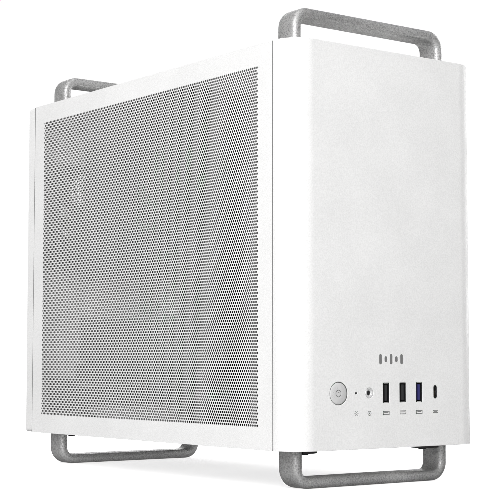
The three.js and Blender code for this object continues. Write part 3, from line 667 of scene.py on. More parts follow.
def hex_socket_screw(shape, axis, centre, face, out, radius, depth, material=0):
    """A low round-headed screw with a hexagon socket.

    Face is where its head starts, and out is 1 or -1 along the axis."""
    sides = 24
    points, faces = [], []
    for r, w in ((radius, 0), (radius, depth * 0.45), (radius * 0.8, depth * 0.85), (radius * 0.62, depth)):
        points += [at(axis, u, v, face + out * w) for u, v in circle(centre, r, sides)]
    corners = circle(centre, radius * 0.5, 6)
    for w in (depth, depth * 0.25):
        for i in range(sides):
            a, b = corners[i * 6 // sides], corners[(i * 6 // sides + 1) % 6]
            t = (i * 6 / sides) % 1
            points.append(at(axis, a[0] + (b[0] - a[0]) * t, a[1] + (b[1] - a[1]) * t, face + out * w))
    for level in range(0, 5 * sides, sides):
        for i in range(sides):
            j = (i + 1) % sides
            faces.append((level + i, level + j, level + sides + j, level + sides + i))
    faces += [tuple(range(5 * sides, 6 * sides)), tuple(range(sides - 1, -1, -1))]
    return shape.add(points, faces, material)


def handle_tab(name, side, up):
    """The tab with a round end at the foot of a handle's leg, and its screw."""
    x, y, z = span(name)
    radius = (y[1] - y[0]) / 2
    leg, tip = x[::-side]
    centre = (tip + side * radius, mid(y))
    outline = [(leg, mid(y) - side * radius), (leg, mid(y) + side * radius)]
    outline += arc(centre, radius, 180 - side * 90, 360 - side * 90, 20)
    Shape().prism(outline, "z", z).make(f"{name}_plate", black_steel, [name], 0.35)
    face = z[1] if up > 0 else z[0]
    screw = hex_socket_screw(Shape(), "z", centre, face - up * 0.2, up, 3.4, 1.5)
    screw.make(f"{name}_screw", black_steel, angle=30)


def handles():
    for level, up in (("top", 1), ("bottom", -1)):
        for end in ("front", "rear"):
            handle(f"handle_{level}_{end}", up)
            for word, side in (("left", -1), ("right", 1)):
                handle_tab(f"handle_tab_{level}_{end}_{word}", side, up)


# ---- front connectors


def power_button():
    """A turned cap with a grey ring and a dot let into it, and the bush it slides in. The ring fills the
    cap's groove as painted shade; the dot is a printed mark.
    """
    face, rear = button_y
    flange = FACE_Y + FRONT_SKIN + 0.3
    rim = BUTTON_R + 1.2
    steps = [(0, face + 0.12), (2.1, face + 0.12), (2.25, face + 0.28), (2.5, face + 0.28)]
    steps += [(2.65, face + 0.02)]
    steps += [(BUTTON_R - 0.75, face), (BUTTON_R - 0.45, face + 0.12), (BUTTON_R - 0.15, face + 0.3)]
    steps += [(BUTTON_R, face + 0.6), (BUTTON_R, flange), (rim, flange), (rim, flange + 1)]
    steps += [(2, flange + 1), (2, rear), (0, rear)]
    centre = (CONNECTOR_Z, BUTTON_X)
    home = (BUTTON_X, mid(button_y), CONNECTOR_Z)
    cap = Shape().turn(steps, "y", centre, 64)
    cap.make("power_button_cap", turned, ["power_button"], angle=25, body="button", origin=home)
    # Grey ring in the groove, painted shade; the small dot is a printed mark.
    groove_shade_and_dot = ring(Shape(), centre, 2.52, 2.15, (face + 0.08, face + 0.4), 40)
    groove_shade_and_dot.rod("y", (centre[0] + 0.7, centre[1] + 0.3), 0.4, (face + 0.05, face + 0.3), 16)
    groove_shade_and_dot.make("power_button_groove_shade_and_dot", print_and_shade_grey, slot="turned_steel", body="button")
    # The bush is dark grey to paint the shade in the gap round the cap.
    bush = ring(Shape(), centre, BUTTON_R + 0.45, BUTTON_R + 0.1, (FACE_Y + INSET, FACE_Y + 1.2), 64)
    bush.make("power_button_bush", painted_shade_grey)


def power_switch():
    x, y, z = span("power_switch")
    made = Shape().prism(rounded(z, x, 0.8), "y", (y[0] + 0.9, y[1]))
    made.rod("y", (mid(z), mid(x)), 3.2, (y[0], y[0] + 2), 24, 1)
    for u, v in every((-4, 4), (-4, 4)):
        made.rod("y", (mid(z) + u, mid(x) + v), 0.7, (y[0] + 0.5, y[0] + 1.5), 12, 1)
    made.make("power_switch_body", [black, steel], ["power_switch"], 0.15)


def usb_port(i, port, tongue_finish):
    """A USB-A socket: a dark shell that fills its cut-out, contact springs and a tongue."""
    x, y, z = port
    wall, face = 0.35, FACE_Y + INSET
    outer = rounded(grown(z, 0.2), grown(x, 0.2), 0.5, 3)
    inner = rounded(grown(z, -wall), grown(x, -wall), 0.3, 3)
    shell = carve(Shape().prism(outer, "y", (face, y[1])), Shape().prism(inner, "y", (face - 1, y[1] - 2)))
    for height in (-3.4, 3.4):
        shell.box((x[0] + wall, x[0] + 0.8), (y[0] + 2.5, y[0] + 8), about(CONNECTOR_Z + height, 1.6))
    shell.make(f"usb_a_{i}_shell", black, [f"usb_a_port_{i}"], 0.08, 1)
    lips = Shape()
    for end in z:
        lips.box(about(mid(x), 3.6), (face - 0.05, face + 0.3), about(end, 0.3))
    lips.make(f"usb_a_{i}_lips", satin)
    tongue = Shape().box(about(mid(x) + 0.5, 2.3), (face + 0.7, y[1] - 1.5), about(CONNECTOR_Z, 11.4))
    for k in range(4):
        pin_z = CONNECTOR_Z + (k - 1.5) * 2.3
        tongue.box(about(mid(x) - 0.67, 0.1), (y[0] + 2.2, y[0] + 9), about(pin_z, 1), 1)
    tongue.make(f"usb_a_{i}_tongue", [tongue_finish, brass], bevel=0.12, segments=1)


def type_c_port():
    """A USB-C socket: a steel shell in a black bezel, and a tongue with contacts on both sides."""
    x, y, z = TYPE_C
    radius = (x[1] - x[0]) / 2
    wall, face = 0.32, FACE_Y + INSET
    outer = rounded(z, x, radius - 0.01, 10)
    wider = rounded(grown(z, 0.2), grown(x, 0.2), radius + 0.19, 10)
    inner = rounded(grown(z, -wall), grown(x, -wall), radius - wall - 0.01, 10)
    hollow = Shape().prism(inner, "y", (face - 1, y[1] - 2))
    shell = carve(Shape().prism(outer, "y", (y[0] + 0.3, y[1])), hollow)
    shell.make("usb_c_shell", steel, ["usb_c_port"], 0.06, 1)
    bezel = carve(Shape().prism(wider, "y", (face, y[0] + 0.25)), hollow)
    bezel.make("usb_c_bezel", black, bevel=0.06, segments=1)
    tongue = Shape().box(about(mid(x), 0.7), (y[0] + 0.8, y[1] - 1.5), about(CONNECTOR_Z, 6.6))
    for k, offset in every(range(6), (-0.36, 0.36)):
        pin_z = CONNECTOR_Z + (k - 2.5)
        tongue.box(about(mid(x) + offset, 0.08), (y[0] + 1.2, y[0] + 5), about(pin_z, 0.5), 1)
    tongue.make("usb_c_tongue", [black, brass])


def audio_jack():
    x, y, z = span("audio_jack")
    centre = (CONNECTOR_Z, JACK_X)
    face, nose = y[0], y[0] + 4.9
    profile = [(1.75, face + 0.7), (2.0, face + 0.35), (2.5, face + 0.3), (2.6, face + 0.05), (3.3, face)]
    profile += [(3.55, face + 0.3), (3.55, nose), (1.75, nose)]
    Shape().turn(profile, "y", centre, 40).make("audio_jack_ring", satin, angle=30)
    body = carve(Shape().box(x, (nose - 1, y[1]), z), Shape().rod("y", centre, 1.85, (nose - 3, y[1] - 2)))
    body.rod("y", centre, 1.74, (face + 1.2, face + 1.6), 24)
    body.make("audio_jack_body", black, ["audio_jack"], 0.3)


def light_pipe():
    low, high = span("status_light_pipe")[1]
    profile = [(0, low), (0.6, low + 0.05), (0.85, low + 0.2), (0.85, high - 5), (2.2, high - 4.6)]
    profile += [(2.2, high), (0, high)]
    lens = Shape().turn(profile, "y", (CONNECTOR_Z, LIGHT_X), 20)
    lens.make("status_light_lens", smoked, ["status_light_pipe"], angle=40)


def ring(shape, centre, outer, inner, y, sides=28):
    return shape.turn([(inner, y[0]), (outer, y[0]), (outer, y[1]), (inner, y[1])], "y", centre, sides)


def frame_outline(shape, centre, half, line, y):
    """A printed rectangle's outline, drawn as four thin bars."""
    for sign in SIDES:
        edge = centre[1] + sign * (half[1] - line / 2)
        shape.box(about(edge, line), y, about(centre[0], 2 * half[0]))
        edge = centre[0] + sign * (half[0] - line / 2)
        shape.box(about(centre[1], 2 * half[1]), y, about(edge, line))


def printed_marks():
    """Plain printed pictograms under the connectors, and a row of bars as a neutral badge."""
    y = (FACE_Y, FACE_Y + 0.06)
    low = panel_z[0] + MARKS_RISE
    marks = Shape()
    ring(marks, (low, LIGHT_X), 0.95, 0.5, y, 20)
    for turn in range(30, 390, 60):
        marks.rod("y", polar((low, LIGHT_X), 1.6, math.radians(turn)), 0.3, y, 8)
    ring(marks, (low, JACK_X), 1.75, 1.25, y)
    marks.rod("y", (low, JACK_X), 0.6, y, 16)
    for x in (mid(port[0]) for port in USB_PORTS):
        frame_outline(marks, (low, x), (1.35, 3.1), 0.55, y)
        marks.box(about(x, 3.9), y, (low + 0.05, low + 0.6))
    x = mid(TYPE_C[0])
    frame_outline(marks, (low, x), (1.05, 2.7), 0.5, y)
    marks.box(about(x, 3.2), y, about(low, 0.45))
    marks.make("printed_marks", print_and_shade_grey)
    badge = Shape()
    for k in range(5):
        tall = 7.4 if k % 2 == 0 else 4.2
        badge.prism(rounded(about(panel_z[0] + BADGE_RISE, tall), about((k - 2) * 5.1, 2.5), 1.2, 4), "y", y)
    badge.make("front_badge", print_and_shade_grey)


# ---- CAD nodes that keep their shape


def dress(node, material, bevel=0.0, angle=35):
    """Gives a CAD node a better finish, softly rounded edges and smooth round faces."""
    piece = frame["nodes"][node]
    piece.data.materials.clear()
    piece.data.materials.append(material)
    piece.data.polygons.foreach_set("use_smooth", [True] * len(piece.data.polygons))
    piece.data.set_sharp_from_angle(angle=math.radians(angle))
    if bevel:
        soften(piece, bevel, 2, angle)


def dressed_nodes():
    for node in ("front_frame", "motherboard_tray", "power_supply_bracket"):
        dress(node, black_steel, 0.2)
    for node in (*MEMORY, "m2_drive"):
        dress(node, black_steel, 0.5)
    dress("power_supply_case", black_steel, 0.3)
    dress("power_supply_rocker", black, 0.4)
    dress("io_bracket", black, 0.5)
    dress("graphics_shroud", black, 1.2)
    dress("processor_socket", steel, 0.5)
    for node in ("motherboard", "graphics_board", "io_board"):
        dress(node, board, 0.12)
    for node in ("mains_lead", "board_power_cable", "graphics_power_cable", "front_cable"):
        dress(node, sleeve, angle=50)


# ---- fans

FAN_DEPTH = 25
FLANGE = 3.5
SCREW_HOLE = 2.1
HOLE_INSET = 5.1
BLADES = 9


def turned_to(axis, place):
    """The matrix that lays a part made along Z along another axis, at a place."""
    turn = Matrix.Rotation(-math.pi / 2, 4, "X") if axis == "y" else Matrix.Identity(4)
    return Matrix.Translation(place) @ turn


def fan_wheel(tip, hub, depth, count):
    """A hub with curved blades that sweep back towards their tips, its axis along Z."""
    half = depth / 2
    profile = [(0, -half), (hub - 1.5, -half), (hub, -half + 1.5), (hub, half), (0, half)]
    wheel = Shape().turn(profile, "z", (0, 0), 40)
    rows, steps = 7, 5
    wide = steps + 1
    layer = (rows + 1) * wide
    root = hub - 0.6
    edge = [*range(wide), *(k * wide + steps for k in range(1, rows + 1))]
    edge += [rows * wide + s for s in range(steps - 1, -1, -1)]
    edge += [k * wide for k in range(rows - 1, 0, -1)]
    faces = []
    for k, s in every(range(rows), range(steps)):
        here = k * wide + s
        quad = (here, here + 1, here + wide + 1, here + wide)
        faces += [quad[::-1], tuple(q + layer for q in quad)]
    faces += [(a, b, b + layer, a + layer) for a, b in zip(edge, edge[1:] + edge[:1])]
    for i in range(count):
        points = []
        for face, (k, s) in every((-0.5, 0.5), every(range(rows + 1), range(wide))):
            far, t = k / rows, s / steps
            r = root + (tip - root) * far
            spread = (40 - 8 * far) * (9 / (count + 2))
            thick = 1.2 * (0.35 + math.sin(math.pi * (0.15 + 0.7 * t)) * 0.65)
            turn = 360 * i / count + 26 * far**1.5 + spread * (t - 0.5) + math.degrees(face * thick / r)
            height = (half - 1) * (2 * t - 1) * (1 - 0.1 * far)
            points.append((*polar((0, 0), r, math.radians(turn)), height))
        wheel.add(points, faces)
    return wheel


def fan_corners(size):
    reach = size / 2 - HOLE_INSET
    return every((-reach, reach), (-reach, reach))


def fan_housing(size):
    """Two square flanges on a tube, corner posts, a motor seat and four bent struts."""
    half, bore = FAN_DEPTH / 2, size / 2 - 2.5
    outline = rounded(about(0, size), about(0, size), 5, 6)
    holes = [circle((0, 0), bore, 64)] + [circle(c, SCREW_HOLE, 16) for c in fan_corners(size)]
    made = Shape()
    for low in (-half, half - FLANGE):
        made.plate(outline, holes, "z", (low, low + FLANGE))
    wall = bore + 1.4
    low, high = between = grown((-half, half), 0.1 - FLANGE)
    made.turn([(bore, low), (wall, low), (wall, high), (bore, high)], "z", (0, 0), 64)
    for u, v in fan_corners(size):
        made.plate(circle((u, v), 4.2, 20), [circle((u, v), SCREW_HOLE, 16)], "z", between)
        inward = (1 - 1.6 / abs(u)) * 0.93
        made.rod("z", (u * inward, v * inward), 1.2, between, 8)
    seat = size / 6 + 2
    profile = [(0, half - 4), (seat - 1, half - 4), (seat, half - 3), (seat, half), (0, half)]
    made.turn(profile, "z", (0, 0), 40)
    for i in range(4):
        line = []
        for far in (k / 8 for k in range(9)):
            r = seat - 1 + (bore + 0.6 - seat + 1) * far
            line.append((*polar((0, 0), r, math.radians(90 * i + 20 + 28 * far)), half - 2))
        made.sweep(rounded((-1.7, 1.7), (-1.2, 1.2), 0.5, 2), line, (0, 0, 1))
    return made


def fan(name, size, axis, *wheel):
    """A case fan in place of its CAD frame and rotor."""
    laid = turned_to(axis, middle(f"{name}_frame"))
    housing = fan_housing(size).moved(laid)
    housing.make(f"{name}_housing", fan_black, [f"{name}_frame"], 0.25, 1, 40)
    rotor = fan_wheel(*wheel).moved(laid)
    rotor.make(f"{name}_wheel", fan_black, [f"{name}_rotor"], angle=45, body=name)
    pads = Shape()
    front = -FAN_DEPTH / 2
    for corner in fan_corners(size):
        pads.rod("z", corner, 3.9, (front - 0.4, front + 0.05), 20)
    pads.moved(laid).make(f"{name}_pads", rubber, slot="fan_plastic")


def small_fan(node, axis, body, *wheel):
    rotor = fan_wheel(*wheel).moved(turned_to(axis, middle(node)))
    rotor.make(f"{node}_wheel", fan_black, [node], angle=45, body=body)


def fans():
    """Each fan's tip radius, hub radius, depth and number of blades come last."""
    fan("rear_fan", 92, "y", 41, 17, 16, BLADES)
    fan("top_fan", 120, "z", 54, 20, 16, BLADES)
    fan("cooler_fan", 120, "y", 54, 20, 16, BLADES)
    small_fan("power_supply_fan_rotor", "y", "supply_fan", 36, 16, 10, BLADES)
    for i in (1, 2):
        small_fan(f"graphics_fan_rotor_{i}", "z", f"graphics_fan_{i}", 42, 16, 10, 11)


# ---- board, cooler, memory, drive

MEMORY = ("memory_module_1", "memory_module_2")
board_x, board_y, board_z = span("motherboard")
BOARD_FACE = board_x[1] - 1.6
slot_rows = [middle(node)[2] for node in ("slot_cover_1", "slot_cover_2")]
slot_rows += [2 * slot_rows[1] - slot_rows[0], 3 * slot_rows[1] - 2 * slot_rows[0]]
cpu_y, cpu_z = middle("processor_socket")[1:]


def on_board(shape, y, z, height):
    return shape.box((BOARD_FACE - height, BOARD_FACE + 0.2), y, z)


def board_sinks():
    """Finned blocks beside the processor and a low one at the board's corner."""
    sinks = Shape()
    beside = ((cpu_y - 36, cpu_y + 34), (board_z[1] - 21, board_z[1] - 3))
    behind = ((cpu_y + 46, cpu_y + 70), (cpu_z - 30, cpu_z + 34))
    for y, z in (beside, behind):
        on_board(sinks, y, z, 6)
        long_z = z[1] - z[0] > y[1] - y[0]
        run, steps = (z, y) if long_z else (y, z)
        count = int((steps[1] - steps[0]) / 3.4)
        for k in range(count):
            fin = about(steps[0] + (k + 0.5) * (steps[1] - steps[0]) / count, 1.6)
            on_board(sinks, *((fin, run) if long_z else (run, fin)), 20)
    front, low = board_y[0], board_z[0]
    on_board(sinks, (front + 18, front + 62), (low + 38, low + 72), 6)
    for k in range(5):
        on_board(sinks, (front + 21 + k * 8, front + 25 + k * 8), (low + 41, low + 69), 7.5)
    sinks.make("board_heat_sinks", black_steel, bevel=0.35, slot="cooler_metal")


def board_sockets():
    sockets = Shape()
    front, rear = board_y
    low, high = board_z
    on_board(sockets, (rear - 46, rear - 20), about(slot_rows[1], 7.5), 11)
    on_board(sockets, (rear - 99, rear - 62), about(slot_rows[1], 7.5), 11)
    on_board(sockets, (cpu_y + 46, cpu_y + 66), (high - 16, high - 4), 12)
    for k in range(4):
        on_board(sockets, (front + 1, front + 12), about(low + 60 + k * 12, 8), 9)
    for k in range(5):
        on_board(sockets, about(front + 44 + k * 24, 16), (low + 3, low + 8), 7)
    for stick in (span(node) for node in MEMORY):
        for end in stick[2]:
            on_board(sockets, about(mid(stick[1]), 7.4), about(end, 5), 16)
    sockets.make("board_sockets", black, bevel=0.3)


def board_parts():
    """Heat sinks, sockets, capacitors, chips and screws on the motherboard."""
    board_sinks()
    board_sockets()
    front, rear = board_y
    low, high = board_z
    cans = Shape()
    places = [(cpu_y + 41, cpu_z + d) for d in range(-30, 36, 9)]
    places += [(cpu_y + d, cpu_z + 41) for d in range(-34, 34, 9)]
    places += [(rear - 24 - 9 * k, low + 16) for k in range(5)]
    for place in places:
        cans.rod("x", place, 3.1, (BOARD_FACE - 7.5, BOARD_FACE + 0.1), 20)
    cans.rod("x", (front + 90, low + 40), 10, (BOARD_FACE - 3.4, BOARD_FACE - 0.2), 40)
    cans.make("board_capacitors", steel, bevel=0.4)
    chips = Shape()
    for _ in range(90):
        y, z = chance.uniform(front + 14, rear - 24), chance.uniform(low + 12, high - 10)
        size = chance.choice((1.6, 1.6, 3, 5, 7))
        if abs(y - cpu_y) > 44 or abs(z - cpu_z) > 40:
            on_board(chips, about(y, size), about(z, size * chance.choice((0.6, 1, 1.5))), 0.5 + size * 0.12)
    chips.make("board_chips", chip)
    screws = Shape()
    for place in every((rear - 10, rear - 122, front + 16), (low + 10, low + 130, high - 8)):
        hex_socket_screw(screws, "x", place, BOARD_FACE, -1, 3, 1.8)
    screws.make("board_screws", steel)


def cooler():
    """A stack of thin plates on bent heat pipes, over a plated base with a cross bar."""
    x, y, z = span("cooler_heatsink")
    count, first, last = 46, x[0] + 0.5, 22
    edge = [(y[0] + k % 2 * 2, z[0] + 2 + k * (z[1] - z[0] - 4) / 12) for k in range(13)]
    outline = [(y[1] - u + y[0], v) for u, v in edge] + edge[::-1]
    plates = Shape()
    for k in range(count):
        station = first + (last - first) * k / (count - 1)
        plates.prism(outline, "x", (station, station + 0.45))
    plates.prism(rounded(y, z, 3), "x", (x[0] - 1.2, x[0] - 0.2), 1)
    plates.make("cooler_plates", [fin_metal, black_steel], ["cooler_heatsink"])
    pipes = Shape()
    for side, (low, high, offset) in every(SIDES, ((5, 15, 6), (14, 38, -6))):
        path = [(52, low), (44, low)]
        for t in range(1, 9):
            path.append((44 - 20 * t / 8, low + (high - low) * (1 - math.cos(math.pi * t / 8)) / 2))
        path.append((x[0] - 0.6, high))
        line = [(u, cpu_y + offset, cpu_z + side * v) for u, v in path]
        pipes.sweep(circle((0, 0), 3, 20), line, (0, 1, 0))
    pipes.make("cooler_pipes", copper)
    base = Shape().box((45, 56.3), about(cpu_y, 42), about(cpu_z, 42))
    base.box((43, 46), about(cpu_y, 12), about(cpu_z, 76), 1)
    for end in (-33, 33):
        hex_socket_screw(base, "x", (cpu_y, cpu_z + end), 43, -1, 4, 2.4, 1)
        base.rod("x", (cpu_y, cpu_z + end), 2, (46, 58), 16, 1)
    base.make("cooler_base", [copper, steel], bevel=0.4)
    clips = Shape()
    for side in SIDES:
        line = [(-76, y[0] + far, cpu_z + side * 50) for far in (-26, -10, 12)]
        clips.sweep(circle((0, 0), 0.9, 10), line, (1, 0, 0))
    clips.make("cooler_clips", steel)


def memory_and_drive():
    spreaders = Shape()
    for node, side in every(MEMORY, SIDES):
        x, y, z = span(node)
        face = mid(y) + side * 3
        spreaders.box((x[0] - 1, x[1] - 14), sorted((face, face + side * 0.6)), grown(z, -3))
        for k in range(6):
            spreaders.box((x[0] + 2, x[1] - 20), sorted((face, face + side)), about(z[0] + 20 + k * 18, 5))
    spreaders.make("memory_spreaders", steel, bevel=0.25, slot="black_steel")
    x, y, z = span("m2_drive")
    ribs = Shape()
    for k in range(9):
        place = z[0] + 2.2 + k * (z[1] - z[0] - 4.4) / 8
        ribs.box((x[0] - 1.4, x[0] + 0.2), grown(y, -3), about(place, 1.2))
    ribs.make("drive_ribs", black_steel, bevel=0.15)


# ---- the rear

ports_x, ports_y, ports_z = span("rear_port_block")
inlet_x, inlet_y, inlet_z = span("mains_inlet")
shield_x, shield_y, shield_z = span("port_shield")
fan_x, _, fan_z = middle("rear_fan_frame")
SLOTS_Z = (slot_rows[0] - 10.3, slot_rows[3] + 10.3)
# Each group of sockets: how far it stands over the lowest slot, its length and its height
AUDIO = (27, 26, 12)
NETWORK = (80, 17, 28)
BLACK_PAIR = (130, 17, 19)
PORT_GROUPS = (AUDIO, (55, 15, 18), NETWORK, (107, 15, 16), BLACK_PAIR, (152, 15, 16))


def rear_panel():
    """A deep rim, and a wall inside it with the fan vent and the openings for the connectors."""
    inner = rounded(grown(rear_z, -1.2), grown(rear_x, -1.2), 1.8, 6)
    wall_edge = rounded(grown(rear_z, -1.1), grown(rear_x, -1.1), 1.9, 6)
    rim = Shape().plate(rounded(rear_z, rear_x, 3, 6), [inner], "y", rear_y)
    field = Field(fan_z, fan_x, 34, 40, 0.8)
    holes = [rounded(grown(shield_z, -1.2), (shield_x[0] + 1.5, shield_x[1] - 1.6), 1)]
    holes += [rounded(about(z, 14), (-41.2, 66), 1) for z in slot_rows]
    holes += [rounded(SLOTS_Z, (-46.2, -43), 1)]
    holes += [rounded(about(mid(inlet_z), 28), about(mid(inlet_x), 20.6), 1)]
    wall = (WALL_Y, WALL_Y + 1.2)
    rim.plate(wall_edge, holes, "y", wall, [field])
    rim.box((-42.7, -41.5), (WALL_Y + 1, rear_y[1] - 0.6), SLOTS_Z)
    rim.make("rear_panel_shell", white, ["rear_panel"], 0.2, 2, 50)
    field.make("rear_fan_vent", "y", wall)
    screws = Shape()
    spread = (-41.2, 41.2)
    for a, b in every(spread, spread):
        hex_socket_screw(screws, "y", (fan_z + a, fan_x + b), wall[1], 1, 3.4, 1.6)
    for z in slot_rows:
        hex_socket_screw(screws, "x", (WALL_Y + 5, z), -44, -1, 3.2, 2.4)
    for a in (-20, 20):
        hex_socket_screw(screws, "y", (mid(inlet_z) + a, mid(inlet_x)), wall[1], 1, 2.6, 1.4)
    screws.make("rear_screws", steel)


def rear_ports():
    """The board's rear sockets: steel shells with recesses, tongues and audio rings."""
    shells, holes, tongues, rings = Shape(), Shape(), Shape(), Shape()
    shells.box((ports_x[1] - 3.2, ports_x[1]), (ports_y[0], WALL_Y - 2.6), ports_z)
    openings = []
    face = ports_y[1]
    for group in PORT_GROUPS:
        rise, length, height = group
        z = slot_rows[3] + rise
        top = ports_x[1] - height
        shells.box((top, ports_x[1]), (ports_y[0], face), about(z, length))
        openings.append(rounded(about(z, length + 0.6), (top - 0.3, ports_x[1] + 0.3), 0.6))
        if group == AUDIO:
            profile = [(1.8, face - 1), (3.5, face - 1), (3.3, face + 0.6), (1.8, face + 0.6)]
            for k in range(3):
                centre = (z + (k - 1) * 8.3, ports_x[1] - 6)
                holes.rod("y", centre, 1.8, (face - 9, face + 1), 20)
                rings.turn(profile, "y", centre, 28, k)
            continue
        if group == NETWORK:
            holes.box((top + 1, top + 12.5), (face - 13, face + 1), about(z, 12.4))
            for k in range(8):
                pin = about(z + (k - 3.5) * 1.02, 0.4)
                tongues.box((top + 11, top + 11.4), (face - 11, face - 4), pin, 2)
            top += 13.4
        tint = 1 if group == BLACK_PAIR else 0
        for start in (top + 1.2, top + 8.4):
            x = (start, start + 5.2)
            holes.box(x, (face - 9, face + 1), about(z, 13))
            tongues.box(about(mid(x) + 0.7, 1.7), (face - 9.2, face - 1), about(z, 11), tint)
    carve(shells, holes).make("rear_port_shells", chrome, ["rear_port_block"], 0.2, 1)
    tongues.make("rear_port_tongues", [blue, tongue_grey, brass], bevel=0.1, segments=1)
    rings.make("rear_audio_rings", [tongue_grey, chrome, blue])
    shield = Shape().plate(rounded(shield_z, shield_x, 1), openings, "y", shield_y)
    shield.make("port_shield_plate", steel, ["port_shield"], 0.12, 1)


def card_plate(node, material, vents):
    """A slot cover, or a card's bracket with vents, with a tab folded out over the ledge."""
    x, y, z = span(node)
    height = about(slot_rows[2], 8)
    holes = [rounded(height, about(-30 + k * 7.5, 3.4), 1.65, 4) for k in range(vents)]
    sheet = (WALL_Y - 1, WALL_Y - 0.3)
    made = Shape().plate(rounded(z, x, 0.6, 2), holes, "y", sheet)
    made.box((x[0], x[0] + 1), (sheet[0], y[1]), z)
    made.make(f"{node}_plate", material, [node], 0.15, 1)


def card_plates():
    card_plate("slot_cover_1", black_steel, 0)
    card_plate("slot_cover_2", black_steel, 0)
    card_plate("graphics_bracket", steel, 11)
    sockets, holes, tongues = Shape(), Shape(), Shape()
    face, row = WALL_Y + 0.6, slot_rows[3]
    for low, high in ((-30, -13), (-9, 8), (12, 29), (33, 49)):
        sockets.box((low, high), (WALL_Y - 16, face), about(row, 6.4))
        holes.box((low + 0.9, high - 0.9), (face - 8, face + 1), about(row, 4.8))
        tongues.box((low + 2.5, high - 2.5), (face - 8.2, face - 1), about(row, 1.4))
    carve(sockets, holes).make("graphics_ports", chrome, bevel=0.3, segments=1)
    tongues.make("graphics_port_tongues", tongue_grey)


def mains_inlet():
    """A flanged socket with a six-sided recess and three blades."""
    x, z = mid(inlet_x), mid(inlet_z)
    outer = WALL_Y + 1.5
    flange = Shape().prism(rounded(inlet_z, inlet_x, 3, 6), "y", (outer, outer + 2))
    flange.box(about(x, 20), (inlet_y[0], outer + 0.2), about(z, 27.4))
    recess = [(z + 12, x - 8), (z + 12, x + 3.5), (z + 7.5, x + 8)]
    recess += [(z - 7.5, x + 8), (z - 12, x + 3.5), (z - 12, x - 8)]
    made = carve(flange, Shape().prism(recess, "y", (outer - 13, outer + 3)))
    made.make("mains_inlet_body", black, ["mains_inlet"], 0.4)
    pins = Shape()
    for dx, dz in ((-2, 7), (-2, -7), (2.5, 0)):
        pins.box(about(x + dx, 4), (outer - 13.5, outer - 3), about(z + dz, 2))
    pins.make("mains_inlet_pins", chrome, bevel=0.4)


# ---- graphics card and power supply


def graphics_details():
    x, y, z = span("graphics_shroud")
    top = span("graphics_board")[2][1]
    slots = [rounded(about(2, 50), about(-34 + k * 7, 3), 1.45, 4) for k in range(6)]
    outline = rounded((x[0] + 3, x[1] - 2), (y[0] + 6, 170), 3)
    back = Shape().plate(outline, slots, "z", (top + 0.2, top + 1.4))
    for place in ((-30, -30), (-30, 150), (36, -30), (36, 150), (-12, 90), (20, 90)):
        hex_socket_screw(back, "z", place, top + 1.3, 1, 2.4, 1, 1)
    back.make("graphics_backplate", [black_steel, steel], bevel=0.2)
    rims = Shape()
    low, high = z[0] - 0.1, z[0] + 0.6
    for node in ("graphics_fan_rotor_1", "graphics_fan_rotor_2"):
        rims.turn([(43.2, low), (45.2, low), (46.4, high), (43.2, high)], "z", middle(node)[:2], 64)
    rims.make("graphics_fan_rims", steel, angle=40, slot="black_plastic")
    fins = Shape()
    for k in range(44):
        place = (y[0] + 8 + k * 4.6, y[0] + 8.5 + k * 4.6)
        fins.box((x[1] - 0.2, x[1] + 1.2), place, (z[0] + 6, z[1] - 2))
        fins.box((x[0] - 0.4, x[0] + 0.3), place, (z[0] + 8, z[1] - 12))
    fins.make("graphics_fins", fin_metal)


def supply_details():
    x, y, z = span("power_supply_case")
    centre = (mid(z), 0)
    guard = Shape()
    for radius in range(8, 38, 6):
        wire = [polar((radius, y[1] + 0.9), 0.7, math.pi * k / 3) for k in range(6)]
        guard.turn(wire, "y", centre, 56)
    for turn in (45, 135, 225, 315):
        angle = math.radians(turn)
        line = [at("y", *polar(centre, r, angle), y[1] + 0.2) for r in (6, 20, 42)]
        guard.sweep(circle((0, 0), 0.8, 8), line, (0, 1, 0))
        hex_socket_screw(guard, "y", polar(centre, 42, angle), y[1], 1, 3.2, 1.8)
    guard.make("supply_fan_guard", black_steel, angle=50)
    vents = Shape()
    for side, k in every(SIDES, range(13)):
        vents.box(mirrored(side, x[1] + 0.05, x[1] - 0.4), grown(y, -12), about(z[0] + 14 + k * 6, 2.6))
    vents.make("supply_vents", rubber)
    sockets = Shape()
    for k, wide in enumerate((26, 12, 12, 12, 12)):
        place = -48 + k * 20 + (0 if k == 0 else 4)
        if abs(place - 30) > 12 and abs(place + 30) > 10:
            sockets.box(about(place, wide * 0.8), about(mid(y) + 12, 9), (z[1] - 0.2, z[1] + 2))
    sockets.make("supply_sockets", black, bevel=0.3)


# ---- studio

SURROUND = (0.14, 0.9)
FLOOR_LIFT = (0.63, 1.0)
FLOOR_HALF = 14
BACKDROP = 1.05


def floor():
    """A white floor under the tower that only the camera sees, brighter further out."""
    made, tree = material("studio_floor")
    tone = ranged(tree, noise(tree, 3, 2), 0.79, 0.81)
    far = length(tree, coordinates(tree))
    paint(tree, {
        "Base Color": tinted(tree, tone, (0, 0, 0), (1, 1, 1)),
        "Roughness": 0.9,
        "Specular IOR Level": 0.1,
        "Emission Color": (1, 1, 1, 1),
        "Emission Strength": ranged(tree, far, *FLOOR_LIFT, 0.35, 1.3),
    })
    mesh = bpy.data.meshes.new("studio_floor")
    side = (-FLOOR_HALF, FLOOR_HALF)
    corners = [(x, y, -0.1 * MM) for x, y in rounded(side, side, 0)]
    mesh.from_pydata(corners, [], [(0, 1, 2, 3)])
    mesh.materials.append(made)
    plane = bpy.data.objects.new("studio_floor", mesh)
    bpy.context.scene.collection.objects.link(plane)
    plane.visible_diffuse = False
    plane.visible_glossy = False


